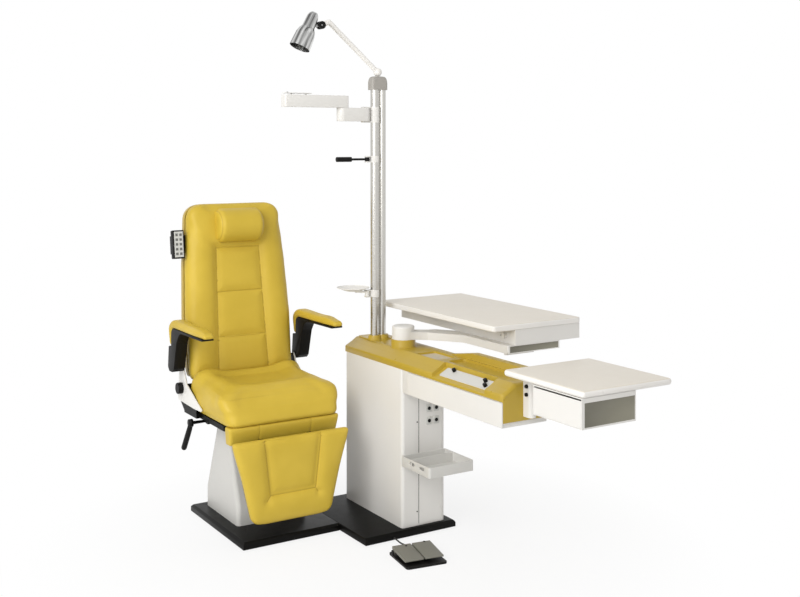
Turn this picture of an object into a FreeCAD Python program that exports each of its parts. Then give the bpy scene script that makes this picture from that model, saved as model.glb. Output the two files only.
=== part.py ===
"""Ophthalmic examination chair unit: chair, instrument stand, two tables and foot pedal on one base.

Millimetres. The origin is on the floor under the lift column. The chair faces -Y and the stand is at +X.
Spans are (low, high) pairs on one axis.
"""
import FreeCAD
import Part
import math
import os

os.makedirs("parts", exist_ok=True)
V = FreeCAD.Vector
ALONG_X, ALONG_Y, ALONG_Z = V(1, 0, 0), V(0, 1, 0), V(0, 0, 1)
NOWHERE = V(0, 0, 0)

# Clearances
SHAFT_CLEAR = 0.05
SCREW_CLEAR = 0.3
SKIN_CLEAR = 0.3
MOULD_CLEAR = 2.0
REACH = 400.0
TINY, SAME_PLACE = 0.001, 0.05
FULL_TURN = 360.0
LEAST_CORNER = 0.3

# Base
PAD_TOP, PAD_R, PAD_INSET = 3.0, 20.0, 45.0
PLATE_TOP, PLATE_CHAMFER = 32.0, 9.0
CHAIR_PLATE_X, CHAIR_PLATE_Y = (-218.0, 218.0), (-359.0, 209.0)
STAND_PLATE_X, STAND_PLATE_Y = (218.0, 660.0), (-577.0, -20.0)
BOLT_R, BOLT_HEAD_R, BOLT_HEAD_H, BOLT_DEPTH = 5.0, 8.5, 8.0, 18.0

# Pedestal cover: half sizes at the stated heights
COVER_HALF_X, COVER_CORNER_R, COVER_WALL = 161.0, 18.0, 3.0
COVER_LEVELS = ((32.0, 170.0), (118.0, 170.0), (397.0, 60.0), (424.0, 52.0))
COVER_TOP_PLATE = 3.0

# Lift column
FLANGE_X, FLANGE_Y, FLANGE_T = (-148.0, 100.0), (-100.0, 100.0), 10.0
FLANGE_BOLT_X, FLANGE_BOLT_Y = (-70.0, 80.0), (-85.0, 85.0)
OUTER_R, OUTER_BORE_R, OUTER_TOP = 52.0, 47.5, 396.0
BUSH_LENGTH = 30.0
INNER_R, INNER_BORE_R, INNER_BOTTOM = 44.0, 37.0, 60.0
NUT_H = 20.0
HOUSING_R, HOUSING_Z = 75.0, (424.5, 446.0)
SPINDLE_R, SPINDLE_TOP = 10.0, 340.0
SPINDLE_FOOT_R, SPINDLE_FOOT_H = 18.0, 12.0
MOTOR_X, MOTOR_R, MOTOR_TOP = -112.0, 30.0, 205.0
MOTOR_FOOT_HALF, MOTOR_FOOT_T = 34.0, 8.0
MOTOR_CAP_R, MOTOR_CAP_H = 24.0, 14.0

# Seat
SWIVEL_PLATE_X, SWIVEL_PLATE_Y, SWIVEL_PLATE_TOP = (-120.0, 120.0), (-110.0, 110.0), 455.0
SWIVEL_PIN_R, SWIVEL_PIN_DEPTH = 28.0, 40.0
PLATE_EDGE_R = 12.0
PAN_X, PAN_Y, PAN_Z = (-250.0, 250.0), (-241.5, 160.0), (455.0, 476.0)
PAN_RIB, PAN_SKIN, PAN_CELLS = 12.0, 4.0, 3
EAR_X = (263.0, 267.0)
EAR_FOOT_Y = (20.0, 160.0)
EAR_OUTLINE = ((30.0, 455.0), (150.0, 455.0), (214.0, 502.0), (204.0, 616.0), (178.0, 660.0), (134.0, 584.0),
               (10.0, 530.0))
EAR_CORNER_R = 8.0
PIVOT_Y, PIVOT_Z = 175.0, 558.0
PIVOT_R = 10.0
KNOB_R, KNOB_X, KNOB_EDGE_R = 24.5, (275.0, 295.0), 3.0
COVER_X = (267.0, 272.0)
SIDE_OUTLINE = ((174.0, 666.0), (210.0, 620.0), (223.0, 499.0), (33.0, 494.0), (-68.0, 498.0), (-1.0, 526.0),
                (126.0, 583.0))
SIDE_RADII = (10.0, 16.0, 14.0, 60.0, 6.0, 30.0, 20.0)

# Leg-rest hinge and the arms that carry it
LEG_ARM_X, LEG_ARM_REAR_Y, LEG_ARM_Z = (100.0, 121.0), (-236.0, -200.0), (394.0, 416.0)
HINGE_Y, HINGE_Z, HINGE_EYE_R, HINGE_ROD_R = -322.0, 405.0, 11.0, 6.0

# Lever that locks the swivel
LEVER_Y, LEVER_Z, LEVER_R = 33.0, 437.0, 5.5
LEVER_BLOCK_X, LEVER_BLOCK_HALF = (-215.0, -190.0), 13.0
LEVER_ROD_X = (-288.0, -190.0)
LEVER_HUB_X, LEVER_HUB_R = (-296.0, -280.0), 13.0
GRIP_POINTS = ((33.0, 431.0), (45.0, 409.0), (108.0, 316.0))
GRIP_R, GRIP_X = (7.0, 8.5, 12.0), -288.0

# Seat cushion: height, half width, front and rear, corner radius
CUSHION_LEVELS = ((476.0, 246.0, -288.0, 146.0, 40.0),
                  (488.0, 253.0, -296.0, 151.0, 42.0),
                  (540.0, 261.0, -291.0, 153.0, 46.0),
                  (585.0, 259.0, -266.0, 150.0, 50.0),
                  (604.0, 242.0, -238.0, 112.0, 56.0),
                  (614.0, 205.0, -196.0, 72.0, 60.0))
VALANCE_X, VALANCE_Y, VALANCE_Z, VALANCE_R = (-254.5, 254.5), (-297.0, -242.0), (429.0, 476.0), 10.0

# Backrest, in its own upright frame: depth behind the front plane, height above the front's lower edge
BACK_SLOPE = 0.137
BACK_TILT = math.degrees(math.atan(BACK_SLOPE))
BACK_FOOT_Y, BACK_FOOT_Z = 116.0, 609.0
BACK_FOOT = V(0, BACK_FOOT_Y, BACK_FOOT_Z)
BACK_OUTLINE = ((-236.0, 0.0), (-244.0, 30.0), (-251.0, 255.0), (-240.0, 494.0), (-219.0, 757.0),
                (219.0, 757.0), (240.0, 494.0), (251.0, 255.0), (244.0, 30.0), (236.0, 0.0))
BACK_RADII = (14.0, 60.0, 400.0, 400.0, 68.0, 68.0, 400.0, 400.0, 60.0, 14.0)
BACK_CUSHION_T, BACK_SHELL_T, BACK_SHELL_WALL = 62.0, 26.0, 4.0
BACK_STEPS = ((0.0, 26.0), (7.0, 9.0), (20.0, 0.0), (50.0, 0.0), (62.0, 5.0))
BACK_PANEL_HALF = (119.0, 103.0)
BACK_SEAM_HEIGHTS = (163.0, 360.0, 556.0)
BACK_CHANNEL = 4.0
FRAME_TUBE_X, FRAME_TUBE_R = (-262.7, 262.7), 15.0
UPRIGHT_X, UPRIGHT_D, UPRIGHT_TOP = (150.0, 186.0), 18.0, 640.0
CROSSBAR_HEIGHTS, CROSSBAR_H = (40.0, 330.0, 600.0), 40.0
PILLOW_HALF_X, PILLOW_R, PILLOW_HEIGHT, PILLOW_END_R = 117.5, 77.0, 654.0, 30.0
HANDSET_X, HANDSET_DEPTH, HANDSET_HEIGHTS = (-300.0, -247.0), (15.0, 45.0), (518.0, 643.0)
HANDSET_R = 6.0
HANDSET_ARM_X, HANDSET_ARM_HEIGHTS = (-290.0, -200.0), (540.0, 620.0)
HANDSET_ARM_DEPTH = (45.0, 80.0)
KEYPAD_HALF, KEYPAD_T, KEY_ROWS, KEY_HALF, KEY_H, KEY_RISE = 18.0, 1.5, 5, 5.5, 13.0, 1.5

# Armrests, drawn for the right side
PAD_X, PAD_OUTLINE = (270.0, 330.0), ((-203.0, 827.0), (-203.0, 862.0), (202.0, 862.0), (202.0, 748.0),
                                      (165.0, 748.0), (165.0, 827.0))
PAD_RADII, PAD_EDGE_R = (8.0, 16.0, 62.0, 10.0, 3.0, 30.0), 12.0
ARM_X = (274.5, 326.0)
ARM_OUTLINE = ((-188.0, 819.0), (-188.0, 827.0), (165.0, 827.0), (165.0, 748.0), (194.0, 744.0),
               (203.0, 652.0),
               (186.0, 636.0), (150.0, 636.0), (132.0, 652.0), (100.0, 770.0), (66.0, 817.0))
ARM_RADII = (3.0, 0.0, 30.4, 0.0, 6.0, 14.0, 12.0, 14.0, 14.0, 40.0, 60.0)
ARM_PIVOT_Y, ARM_PIVOT_Z, ARM_PIN_R, ARM_PIN_X, ARM_BOSS_R = 180.0, 652.0, 5.0, 257.0, 14.0

# Leg rest, hanging straight down
LEG_OUTLINE = ((-120.0, 90.0), (-178.0, 96.0), (-222.0, 283.0), (-254.0, 427.0),
               (254.0, 427.0), (222.0, 283.0), (178.0, 96.0), (120.0, 90.0))
LEG_RADII = (60.0, 40.0, 500.0, 8.0, 8.0, 500.0, 40.0, 60.0)
LEG_BOARD_Y, LEG_CUSHION_T = (-334.0, -326.0), 40.0
LEG_STEPS = ((0.0, 20.0), (5.0, 7.0), (14.0, 0.0), (33.0, 0.0), (40.0, 4.0))
LEG_PANEL = ((-125.0, 423.0), (-101.5, 205.0), (101.5, 205.0), (125.0, 423.0))
LEG_BOARD_INSET, LEG_CHANNEL = 6.0, 3.5
LEG_NOTCH_X, LEG_NOTCH_Z = (97.0, 124.0), 388.0
LEG_LUG_X, LEG_LUG_R = (124.0, 136.0), 14.0

# Instrument stand
CABINET_X, CABINET_Y, CABINET_Z = (406.0, 620.0), (-553.0, -72.0), (32.0, 690.0)
CABINET_R, CABINET_WALL = 15.0, 4.0
PANEL_X, PANEL_Z, PANEL_T, PANEL_REVEAL, PANEL_LAP = (488.0, 604.0), (38.0, 600.0), 3.0, 1.0, 10.0
PANEL_SCREWS, PANEL_SCREW_R, PANEL_SCREW_T = ((500.0, 467.0), (500.0, 92.0), (592.0, 467.0),
                                              (592.0, 92.0)), 4.0, 1.5
SOCKET_X, SOCKET_Z = (538.0, 574.0), (463.0, 515.0)
SOCKET_HALF_X, SOCKET_HALF_Z, SOCKET_T, SOCKET_BODY, SOCKET_BODY_HALF = 13.0, 16.0, 3.0, 22.0, 9.0
SOCKET_SLOT_HALF, SOCKET_SLOT_DEPTH = 6.0, 10.0
TRAY_X, TRAY_Y, TRAY_Z, TRAY_WALL = (404.0, 622.0), (-760.0, -553.0), (292.0, 334.0), 4.0
TRAY_R, TRAY_DIVIDER_Y = 10.0, -615.0
TRAY_SLOTS_Y, TRAY_SLOT_HALF, TRAY_SLOT_R, TRAY_SLOT_Z = (-631.0, -704.0), 18.0, 7.0, 318.0
BEAM_X, BEAM_Y, BEAM_Z, BEAM_WALL = (408.0, 616.0), (-1229.0, -553.0), (594.0, 690.0), 3.0
DRAWER_FRONT_X, DRAWER_FRONT_Y, DRAWER_FRONT_Z = (404.0, 408.0), (-1234.0, -598.0), (597.0, 687.0)
DRAWER_X, DRAWER_Y, DRAWER_TOP, DRAWER_WALL = (408.0, 600.0), (-1214.0, -612.0), 668.0, 3.0

# Console lid
LID_Y, LID_Z = (-1235.0, -72.0), (690.0, 755.0)
LID_SECTION = ((406.0, 690.0), (406.0, 716.0), (436.0, 732.0), (466.0, 752.0), (620.0, 752.0), (620.0, 690.0))
LID_SECTION_RADII = (0.0, 8.0, 30.0, 16.0, 12.0, 0.0)
LID_WALL, LID_NOSE_R, LID_SKIRT_X = 4.0, 14.0, (409.0, 612.0)
LID_SKIRT_Y, LID_SKIRT_Z = (-1235.0, -1229.0), (613.0, 700.0)
HOLLOW_SECTION = ((410.0, 690.0), (410.0, 709.0), (440.0, 726.0), (470.0, 738.0), (616.0, 738.0),
                  (616.0, 690.0))
DECK_HOLLOW_SECTION = ((410.0, 690.0), (410.0, 696.0), (424.0, 702.0), (478.0, 731.0), (478.0, 736.0),
                       (616.0, 736.0), (616.0, 690.0))
PLATEAU_X, PLATEAU_Y, PLATEAU_TOP, PLATEAU_R = (466.0, 592.0), (-205.0, -80.0), 757.0, 14.0
BOSS_X, BOSS_Y, BOSS_R, BOSS_TOP = 512.0, -393.0, 53.0, 785.0
DECK_Y, DECK_SECTION = (-1125.0, -775.0), ((406.0, 700.0), (420.0, 706.0), (474.0, 735.0), (474.0, 800.0),
                                           (380.0, 800.0), (380.0, 700.0))
RECESS_X, RECESS_Y, RECESS_FLOOR, RECESS_R = (470.0, 566.0), (-716.0, -560.0), 744.0, 14.0
RIM_X = (584.0, 620.0)
RIM_OUTLINE = ((-1210.0, 740.0), (-1150.0, 778.0), (-795.0, 778.0), (-635.0, 750.0), (-600.0, 740.0))
RIM_RADII = (0.0, 60.0, 90.0, 40.0, 0.0)
TROUGH_X, TROUGH_Y, TROUGH_FLOOR, TROUGH_R = (492.0, 576.0), (-1130.0, -760.0), 742.0, 12.0
FOOT_RING_CENTRES, FOOT_RING_R, FOOT_RING_TOP = ((493.5, -184.0), (531.0, -184.0)), 27.0, 787.0

# Control deck
DECK_FOOT_X, DECK_FOOT_Z, DECK_HEAD_X, DECK_HEAD_Z = 420.0, 706.0, 474.0, 735.0
DECK_FOOT, DECK_HEAD = V(DECK_FOOT_X, 0, DECK_FOOT_Z), V(DECK_HEAD_X, 0, DECK_HEAD_Z)
CONTROL_Y, CONTROL_SHARES, CONTROL_T = (-1108.0, -798.0), (0.08, 0.92), 2.0
CONTROL_KNOBS = ((-853.0, 0.78), (-1064.0, 0.72), (-1088.0, 0.36))
CONTROL_KNOB_R, CONTROL_KNOB_H, CONTROL_STEM_R = 8.0, 12.0, 3.0

# Pole and what it carries; everything stands in the plane of the pole
POLE_Y, POLE_Z = -184.0, (690.0, 1873.0)
POLE_LEFT_X, POLE_LEFT_R, POLE_RIGHT_X, POLE_RIGHT_R, POLE_WALL = 493.5, 19.5, 531.3, 16.5, 2.0
POLE_WEB_X, POLE_WEB_HALF = (508.0, 520.0), 5.0
CAP_X, CAP_HALF_Y, CAP_R, CAP_LAP, CAP_RISE = (464.0, 553.0), 26.0, 12.0, 9.0, 51.0
CAP_Z = (POLE_Z[1] - CAP_LAP, POLE_Z[1] + CAP_RISE)
LAMP_POST_X, LAMP_POST_R = 508.0, 7.0
LAMP_BALL_R = 19.0
LAMP_BALL_Z = CAP_Z[1] + LAMP_BALL_R
LAMP_REACH, LAMP_RISE, LAMP_ROD_R = 246.0, 210.0, 11.0
LAMP_ELBOW = V(LAMP_POST_X - LAMP_REACH, POLE_Y, LAMP_BALL_Z + LAMP_RISE)
LAMP_FORK_HALF, LAMP_FORK_GAP, LAMP_FORK_R = 12.0, 5.2, 12.0
TONGUE_RUN, TONGUE_DROP = 40.0, 16.0
LAMP_JOINT = LAMP_ELBOW - V(TONGUE_RUN, 0, TONGUE_DROP)
LAMP_PIN_R = 3.0
APEX_RUN, APEX_RISE, RIM_RUN, RIM_DROP = 31.0, 51.0, 102.5, 101.0
HEAD_APEX = LAMP_JOINT + V(-APEX_RUN, 0, APEX_RISE)
HEAD_RIM = LAMP_JOINT - V(RIM_RUN, 0, RIM_DROP)
HEAD_PROFILE = ((0.0, 15.0), (0.05, 21.0), (0.12, 25.0), (0.42, 28.0), (0.50, 36.0), (0.62, 42.0),
                (1.0, 46.0))
HEAD_WALL, HEAD_NECK_R = 1.5, 5.0
BULB_R, BULB_AT, BULB_CAP_R = 17.0, 0.68, 12.0
CLAMP_R, CLAMP_CUT_X, LUG_T, LUG_HALF_Y, LUG_LIP, LUG_ROOT_X = 24.5, 500.0, 5.0, 11.0, 4.0, 474.0
SHOULDER_X, SHOULDER_R, SMALL_PIN_R = 440.0, 8.0, 4.0
INNER_ARM_X, INNER_ARM_Z, ARM_HALF_Y = (303.0, 464.0), (1723.0, 1781.7), 24.0
ELBOW_X, ELBOW_PIN_R, ELBOW_DEPTH = 327.0, 9.0, 40.0
OUTER_ARM_X, OUTER_ARM_H, ARM_EDGE = (41.0, 349.0), 52.3, 7.0
OUTER_ARM_Z = (INNER_ARM_Z[1], INNER_ARM_Z[1] + OUTER_ARM_H)
END_BORE_X, END_BORE_R = 60.0, 9.0
TOP_PLATE_X, TOP_PLATE_HALF_Y, TOP_PLATE_T, TOP_PLATE_GAP = (41.0, 170.0), 17.0, 3.0, 5.0
PLATE_STUDS_X, PLATE_STUD_R = (80.0, 150.0), 4.0
HANDLE_Z, HANDLE_ROD_X, HANDLE_R = 1555.0, (372.0, 454.0), 5.0
HANDLE_GRIP_X, HANDLE_GRIP_R = (299.0, 372.0), 11.0
HANDLE_PIN_X, HANDLE_EYE_R, HANDLE_EYE_Z = 454.0, 10.0, (1546.0, 1564.0)
DISH_X, DISH_R, DISH_Z, DISH_WALL, DISH_BED = 390.0, 73.0, (969.0, 985.0), 2.0, 34.0
DISH_PIN_X, DISH_EYE_R, DISH_EYE_Z = 454.0, 10.0, (948.0, 969.0)
DISH_STAY_X, DISH_STAY_HALF_Y, DISH_STAY_Z = (400.0, 454.0), 9.0, (962.0, 969.0)
DISH_REST_TURN = -45.0

# Large table and its arm
HUB_R, HUB_Z, HUB_PIN_R, HUB_PIN_DEPTH = 48.0, (785.0, 842.0), 15.0, 25.0
ARM_ELBOW_X, ARM_ELBOW_Y, ARM_END_X, ARM_END_Y = 625.0, -470.0, 745.0, -640.0
ARM_ELBOW, ARM_END = V(ARM_ELBOW_X, ARM_ELBOW_Y, 0), V(ARM_END_X, ARM_END_Y, 0)
FIRST_LEG_HALF, SECOND_LEG_HALF, ARM_Z = 36.0, 46.0, (786.0, 818.0)
RAIL_BOX_X, RAIL_BOX_Y = (673.0, 942.0), (-919.0, -580.0)
RAIL_BOX_R = 6.0
RAIL_X, RAIL_Y, RAIL_HALF, RAIL_H = (760.0, 895.0), (-790.0, -600.0), 12.0, 18.0
TABLE_X, TABLE_Y, TABLE_Z, TABLE_R, TABLE_EDGE_R = (598.0, 1050.0), (-925.0, -60.0), (880.0, 904.0), 14.0, 5.0
APRON_X, APRON_Y, APRON_Z, APRON_WALL = (710.0, 1046.0), (-920.0, -64.0), (818.0, 880.0), 14.0
APRON_WEB_HALF, GROOVE_END = 26.0, 6.0
TABLE_KNOB_Y, TABLE_KNOB_Z, TABLE_KNOB_R, TABLE_KNOB_L = -855.0, 850.0, 11.0, 14.0
TABLE_LEVER_X, TABLE_LEVER_Y, TABLE_LEVER_Z, TABLE_LEVER_HALF = (677.0, 820.0), -895.0, (779.0, 786.0), 9.0

# Small table
POST_X, POST_Y, POST_Z = (501.0, 534.0), (-1262.0, -1235.0), (628.0, 786.0)
POST_PIVOT_X, POST_PIVOT_Y, POST_EYE_R, POST_PIN_R = 517.5, -1262.0, 16.5, 6.0
POST_KNOBS_Z, POST_KNOB_R, POST_KNOB_X = (700.0, 724.0), 8.0, (534.0, 552.0)
BRACKET_ARM_Z, BRACKET_ARM_HALF, BRACKET_ARM_END_Y = (766.0, 786.0), 22.0, -1390.0
SMALL_TOP_X, SMALL_TOP_Y, SMALL_TOP_Z = (404.0, 814.0), (-1671.0, -1241.0), (788.0, 812.0)
SMALL_TOP_R, SMALL_TOP_EDGE_R = 12.0, 11.0
CARRIER_X, CARRIER_Y, CARRIER_Z = (480.0, 700.0), (-1405.0, -1268.0), (786.0, 788.0)
BOX_X, BOX_Y, BOX_Z, BOX_WALL = (404.0, 645.0), (-1665.0, -1411.0), (685.0, 788.0), 3.0
TABLE_DRAWER_FRONT_X, TABLE_DRAWER_FRONT_Y, TABLE_DRAWER_FRONT_Z = (404.0, 408.0), (-1661.5,
                                                                                    -1414.5), (688.5, 779.0)
TABLE_DRAWER_X, TABLE_DRAWER_Y, TABLE_DRAWER_TOP = (408.0, 636.0), (-1656.0, -1420.0), 760.0

# Foot pedals, drawn straight and then turned about the rear left corner
PEDAL_PIVOT_X, PEDAL_PIVOT_Y, PEDAL_TURN = 258.0, -688.0, -8.5
PEDAL_PIVOT = V(PEDAL_PIVOT_X, PEDAL_PIVOT_Y, 0)
PEDAL_BASE_X, PEDAL_BASE_Y, PEDAL_BASE_T, PEDAL_BASE_R = (0, 172.0), (-182.0, 0), 8.0, 12.0
PEDAL_X = ((5.0, 82.0), (90.0, 167.0))
PEDAL_OUTLINE = ((-156.0, 18.0), (-156.0, 25.0), (-24.0, 40.0), (-24.0, 27.0))
PEDAL_OUTLINE_RADII = (3.0, 3.0, 3.0, 3.0)
PEDAL_PIN_Y, PEDAL_PIN_Z, PEDAL_PIN_R, PEDAL_LUG_R = -34.0, 20.0, 3.0, 7.0
PEDAL_SWITCH_Y, PEDAL_SWITCH_R = -70.0, 6.0
BEND_SHARE = 0.45
CORD_R = 3.0
GLAND_X, GLAND_Y, GLAND_Z = (101.8, 117.8), (-12.0, 0), (8.0, 18.0)
CORD_Z, CORD_LEAD = 12.0, 13.84
CORD_ROUTE = ((352.0, STAND_PLATE_Y[0], CORD_Z), (352.0, -592.0, CORD_Z), (356.0, -620.0, CORD_R),
              (366.0, -662.0, CORD_R))


def middle(span):
    return (span[0] + span[1]) / 2


def at(axis, a, b, along):
    """Point from two outline coordinates and the place along the named axis."""
    if axis == "x":
        return V(along, a, b)
    if axis == "y":
        return V(a, along, b)
    return V(a, b, along)


def wire(points, radii, axis, along):
    """Closed wire through the outline points, each corner rounded by its radius."""
    if not isinstance(radii, (tuple, list)):
        radii = [radii] * len(points)
    corners = [at(axis, a, b, along) for a, b in points]
    count = len(corners)
    arcs = []
    for i, here in enumerate(corners):
        back = (corners[i - 1] - here).normalize()
        ahead = (corners[(i + 1) % count] - here).normalize()
        half_angle = back.getAngle(ahead) / 2
        if radii[i] == 0:
            arcs.append((here, here, here))
            continue
        run = radii[i] / math.tan(half_angle)
        inward = (back + ahead).normalize()
        centre = here + inward * (radii[i] / math.sin(half_angle))
        arcs.append((here + back * run, centre - inward * radii[i], here + ahead * run))
    edges = []
    for i, (start, bend, end) in enumerate(arcs):
        if start != end:
            edges.append(Part.Arc(start, bend, end).toShape())
        following = arcs[(i + 1) % count][0]
        if end.distanceToPoint(following) > TINY:
            edges.append(Part.LineSegment(end, following).toShape())
    return Part.Wire(edges)


def prism(points, radii, axis, span):
    """Solid of a rounded outline, pushed along the axis from the span's low end to its high end."""
    push = {"x": ALONG_X, "y": ALONG_Y, "z": ALONG_Z}[axis] * (span[1] - span[0])
    return Part.Face(wire(points, radii, axis, span[0])).extrude(push)


def box_outline(first, second):
    return ((first[0], second[0]), (first[1], second[0]), (first[1], second[1]), (first[0], second[1]))


def block(xs, ys, zs, radius=0):
    """Box between three spans; the radius rounds its upright edges."""
    return prism(box_outline(xs, ys), radius, "z", zs)


def rod(start, end, radius):
    return Part.makeCylinder(radius, start.distanceToPoint(end), start, end - start)


def upright(x, y, zs, radius):
    return rod(V(x, y, zs[0]), V(x, y, zs[1]), radius)


def grown(span, by):
    """The span with both ends moved outwards."""
    return (span[0] - by, span[1] + by)


def spin(profile, centre, direction):
    """Solid of revolution from (distance, radius) pairs; it starts and ends on the axis."""
    unit = V(direction).normalize()
    side = unit.cross(ALONG_Y)
    points = [centre + unit * far + side * radius for far, radius in profile]
    if profile[-1][1] > 0:
        points.append(centre + unit * profile[-1][0])
    if profile[0][1] > 0:
        points.append(centre + unit * profile[0][0])
    points.append(points[0])
    return Part.Face(Part.makePolygon(points)).revolve(centre, unit, FULL_TURN)


def joined(*shapes):
    return shapes[0].fuse(list(shapes[1:])).removeSplitter()


def soften(shape, radius, chosen):
    """Round the edges whose middle point the test accepts."""
    edges = [edge for edge in shape.Edges if chosen(edge.CenterOfMass)]
    return shape.makeFillet(radius, edges)


def near(a, b):
    return abs(a - b) < SAME_PLACE


def mirrored(shape):
    return shape.mirror(NOWHERE, ALONG_X)


def save(shape, name):
    if not shape.isValid():
        raise ValueError(name + " is not a valid solid")
    shape.exportStep("parts/" + name + ".step")


def chair_base_plate():
    plate = block(CHAIR_PLATE_X, CHAIR_PLATE_Y, (PAD_TOP, PLATE_TOP))
    rim = [edge for edge in plate.Edges if near(edge.CenterOfMass.z, PLATE_TOP)
           and not near(edge.CenterOfMass.x, CHAIR_PLATE_X[1])]
    plate = plate.makeChamfer(PLATE_CHAMFER, rim)
    return plate.cut([bolt_shaft(x, y, SCREW_CLEAR) for x, y in flange_bolts()])


def stand_base_plate():
    plate = block(STAND_PLATE_X, STAND_PLATE_Y, (PAD_TOP, PLATE_TOP))
    rim = [edge for edge in plate.Edges if near(edge.CenterOfMass.z, PLATE_TOP)
           and not near(edge.CenterOfMass.x, STAND_PLATE_X[0])]
    return plate.makeChamfer(PLATE_CHAMFER, rim)


def levelling_pads():
    """Round feet under the corners of both plates and under the lift column."""
    spots = [upright(0, 0, (0, PAD_TOP), PAD_R)]
    for xs, ys in ((CHAIR_PLATE_X, CHAIR_PLATE_Y), (STAND_PLATE_X, STAND_PLATE_Y)):
        for x in grown(xs, -PAD_INSET):
            for y in grown(ys, -PAD_INSET):
                spots.append(upright(x, y, (0, PAD_TOP), PAD_R))
    return Part.makeCompound(spots)


def flange_bolts():
    return [(x, y) for x in FLANGE_BOLT_X for y in FLANGE_BOLT_Y]


def bolt_shaft(x, y, extra=0):
    head_seat = PLATE_TOP + FLANGE_T
    return upright(x, y, (PLATE_TOP - BOLT_DEPTH, head_seat), BOLT_R + extra)


def flange_screw(x, y):
    """Cap screw that holds the lift column's flange to the plate."""
    head_seat = PLATE_TOP + FLANGE_T
    return joined(upright(x, y, (head_seat, head_seat + BOLT_HEAD_H), BOLT_HEAD_R), bolt_shaft(x, y))


def cover_shell(inset):
    """Stack of rounded rectangles that narrows from front and back towards the top."""
    half_x = COVER_HALF_X - inset
    wires = []
    for z, half_y in COVER_LEVELS:
        outline = box_outline((-half_x, half_x), (-half_y + inset, half_y - inset))
        wires.append(wire(outline, COVER_CORNER_R - inset, "z", z))
    return Part.makeLoft(wires, True, True)


def pedestal_cover():
    top = COVER_LEVELS[-1][0]
    inside = cover_shell(COVER_WALL)
    inside = inside.cut(block(grown((0, 0), REACH), grown((0, 0), REACH),
                              (top - COVER_TOP_PLATE, top + REACH)))
    return cover_shell(0).cut([inside, upright(0, 0, (0, top + REACH), INNER_R + MOULD_CLEAR)])


def lift_outer_column():
    flange_top = PLATE_TOP + FLANGE_T
    flange = block(FLANGE_X, FLANGE_Y, (PLATE_TOP, flange_top), PLATE_EDGE_R)
    tube = upright(0, 0, (flange_top, OUTER_TOP), OUTER_R)
    bore = upright(0, 0, (flange_top, OUTER_TOP - BUSH_LENGTH), OUTER_BORE_R)
    bush = upright(0, 0, (flange_top, OUTER_TOP), INNER_R + SHAFT_CLEAR)
    return joined(flange, tube, *[flange_screw(x, y) for x, y in flange_bolts()]).cut([bore, bush])


def lift_inner_column():
    """Sliding tube with its nut plate at the foot and the bearing housing on top."""
    housing = upright(0, 0, HOUSING_Z, HOUSING_R)
    housing = soften(housing, BOLT_R, lambda p: near(p.z, HOUSING_Z[0]))
    tube = upright(0, 0, (INNER_BOTTOM, HOUSING_Z[1]), INNER_R)
    guide = upright(0, 0, (INNER_BOTTOM, INNER_BOTTOM + NUT_H), OUTER_BORE_R - SHAFT_CLEAR)
    column = joined(tube, guide, housing)
    bore = upright(0, 0, (INNER_BOTTOM + NUT_H, HOUSING_Z[0] - NUT_H), INNER_BORE_R)
    nut = upright(0, 0, (INNER_BOTTOM, HOUSING_Z[0] - NUT_H), SPINDLE_R + SHAFT_CLEAR)
    socket = upright(0, 0, (HOUSING_Z[1] - SWIVEL_PIN_DEPTH, HOUSING_Z[1]), SWIVEL_PIN_R + SHAFT_CLEAR)
    return column.cut([bore, nut, socket])


def lift_drive():
    """Lift spindle on its foot bearing, and the gear motor that stands beside the column."""
    floor = PLATE_TOP + FLANGE_T
    foot = upright(0, 0, (floor, floor + SPINDLE_FOOT_H), SPINDLE_FOOT_R)
    spindle = joined(foot, upright(0, 0, (floor, SPINDLE_TOP), SPINDLE_R))
    base = block(grown((MOTOR_X, MOTOR_X), MOTOR_FOOT_HALF), grown((0, 0), MOTOR_FOOT_HALF),
                 (floor, floor + MOTOR_FOOT_T), BOLT_HEAD_H)
    barrel = upright(MOTOR_X, 0, (floor + MOTOR_FOOT_T, MOTOR_TOP), MOTOR_R)
    cap = upright(MOTOR_X, 0, (MOTOR_TOP, MOTOR_TOP + MOTOR_CAP_H), MOTOR_CAP_R)
    return Part.makeCompound([spindle, joined(base, barrel, cap)])


def swivel_plate():
    plate = block(SWIVEL_PLATE_X, SWIVEL_PLATE_Y, (HOUSING_Z[1], SWIVEL_PLATE_TOP), PLATE_EDGE_R)
    pin = upright(0, 0, (HOUSING_Z[1] - SWIVEL_PIN_DEPTH, HOUSING_Z[1]), SWIVEL_PIN_R)
    return joined(plate, pin)


def pan():
    """Ribbed seat pan; the middle cell stays solid over the swivel plate."""
    slab = block(PAN_X, PAN_Y, PAN_Z, PLATE_EDGE_R)
    step_x = (PAN_X[1] - PAN_X[0] - PAN_RIB) / PAN_CELLS
    step_y = (PAN_Y[1] - PAN_Y[0] - PAN_RIB) / PAN_CELLS
    cells = []
    for i in range(PAN_CELLS):
        for j in range(PAN_CELLS):
            if i == j == PAN_CELLS // 2:
                continue
            x = PAN_X[0] + PAN_RIB + i * step_x
            y = PAN_Y[0] + PAN_RIB + j * step_y
            cells.append(block((x, x + step_x - PAN_RIB), (y, y + step_y - PAN_RIB),
                               (PAN_Z[0], PAN_Z[1] - PAN_SKIN)))
    return slab.cut(cells)


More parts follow.
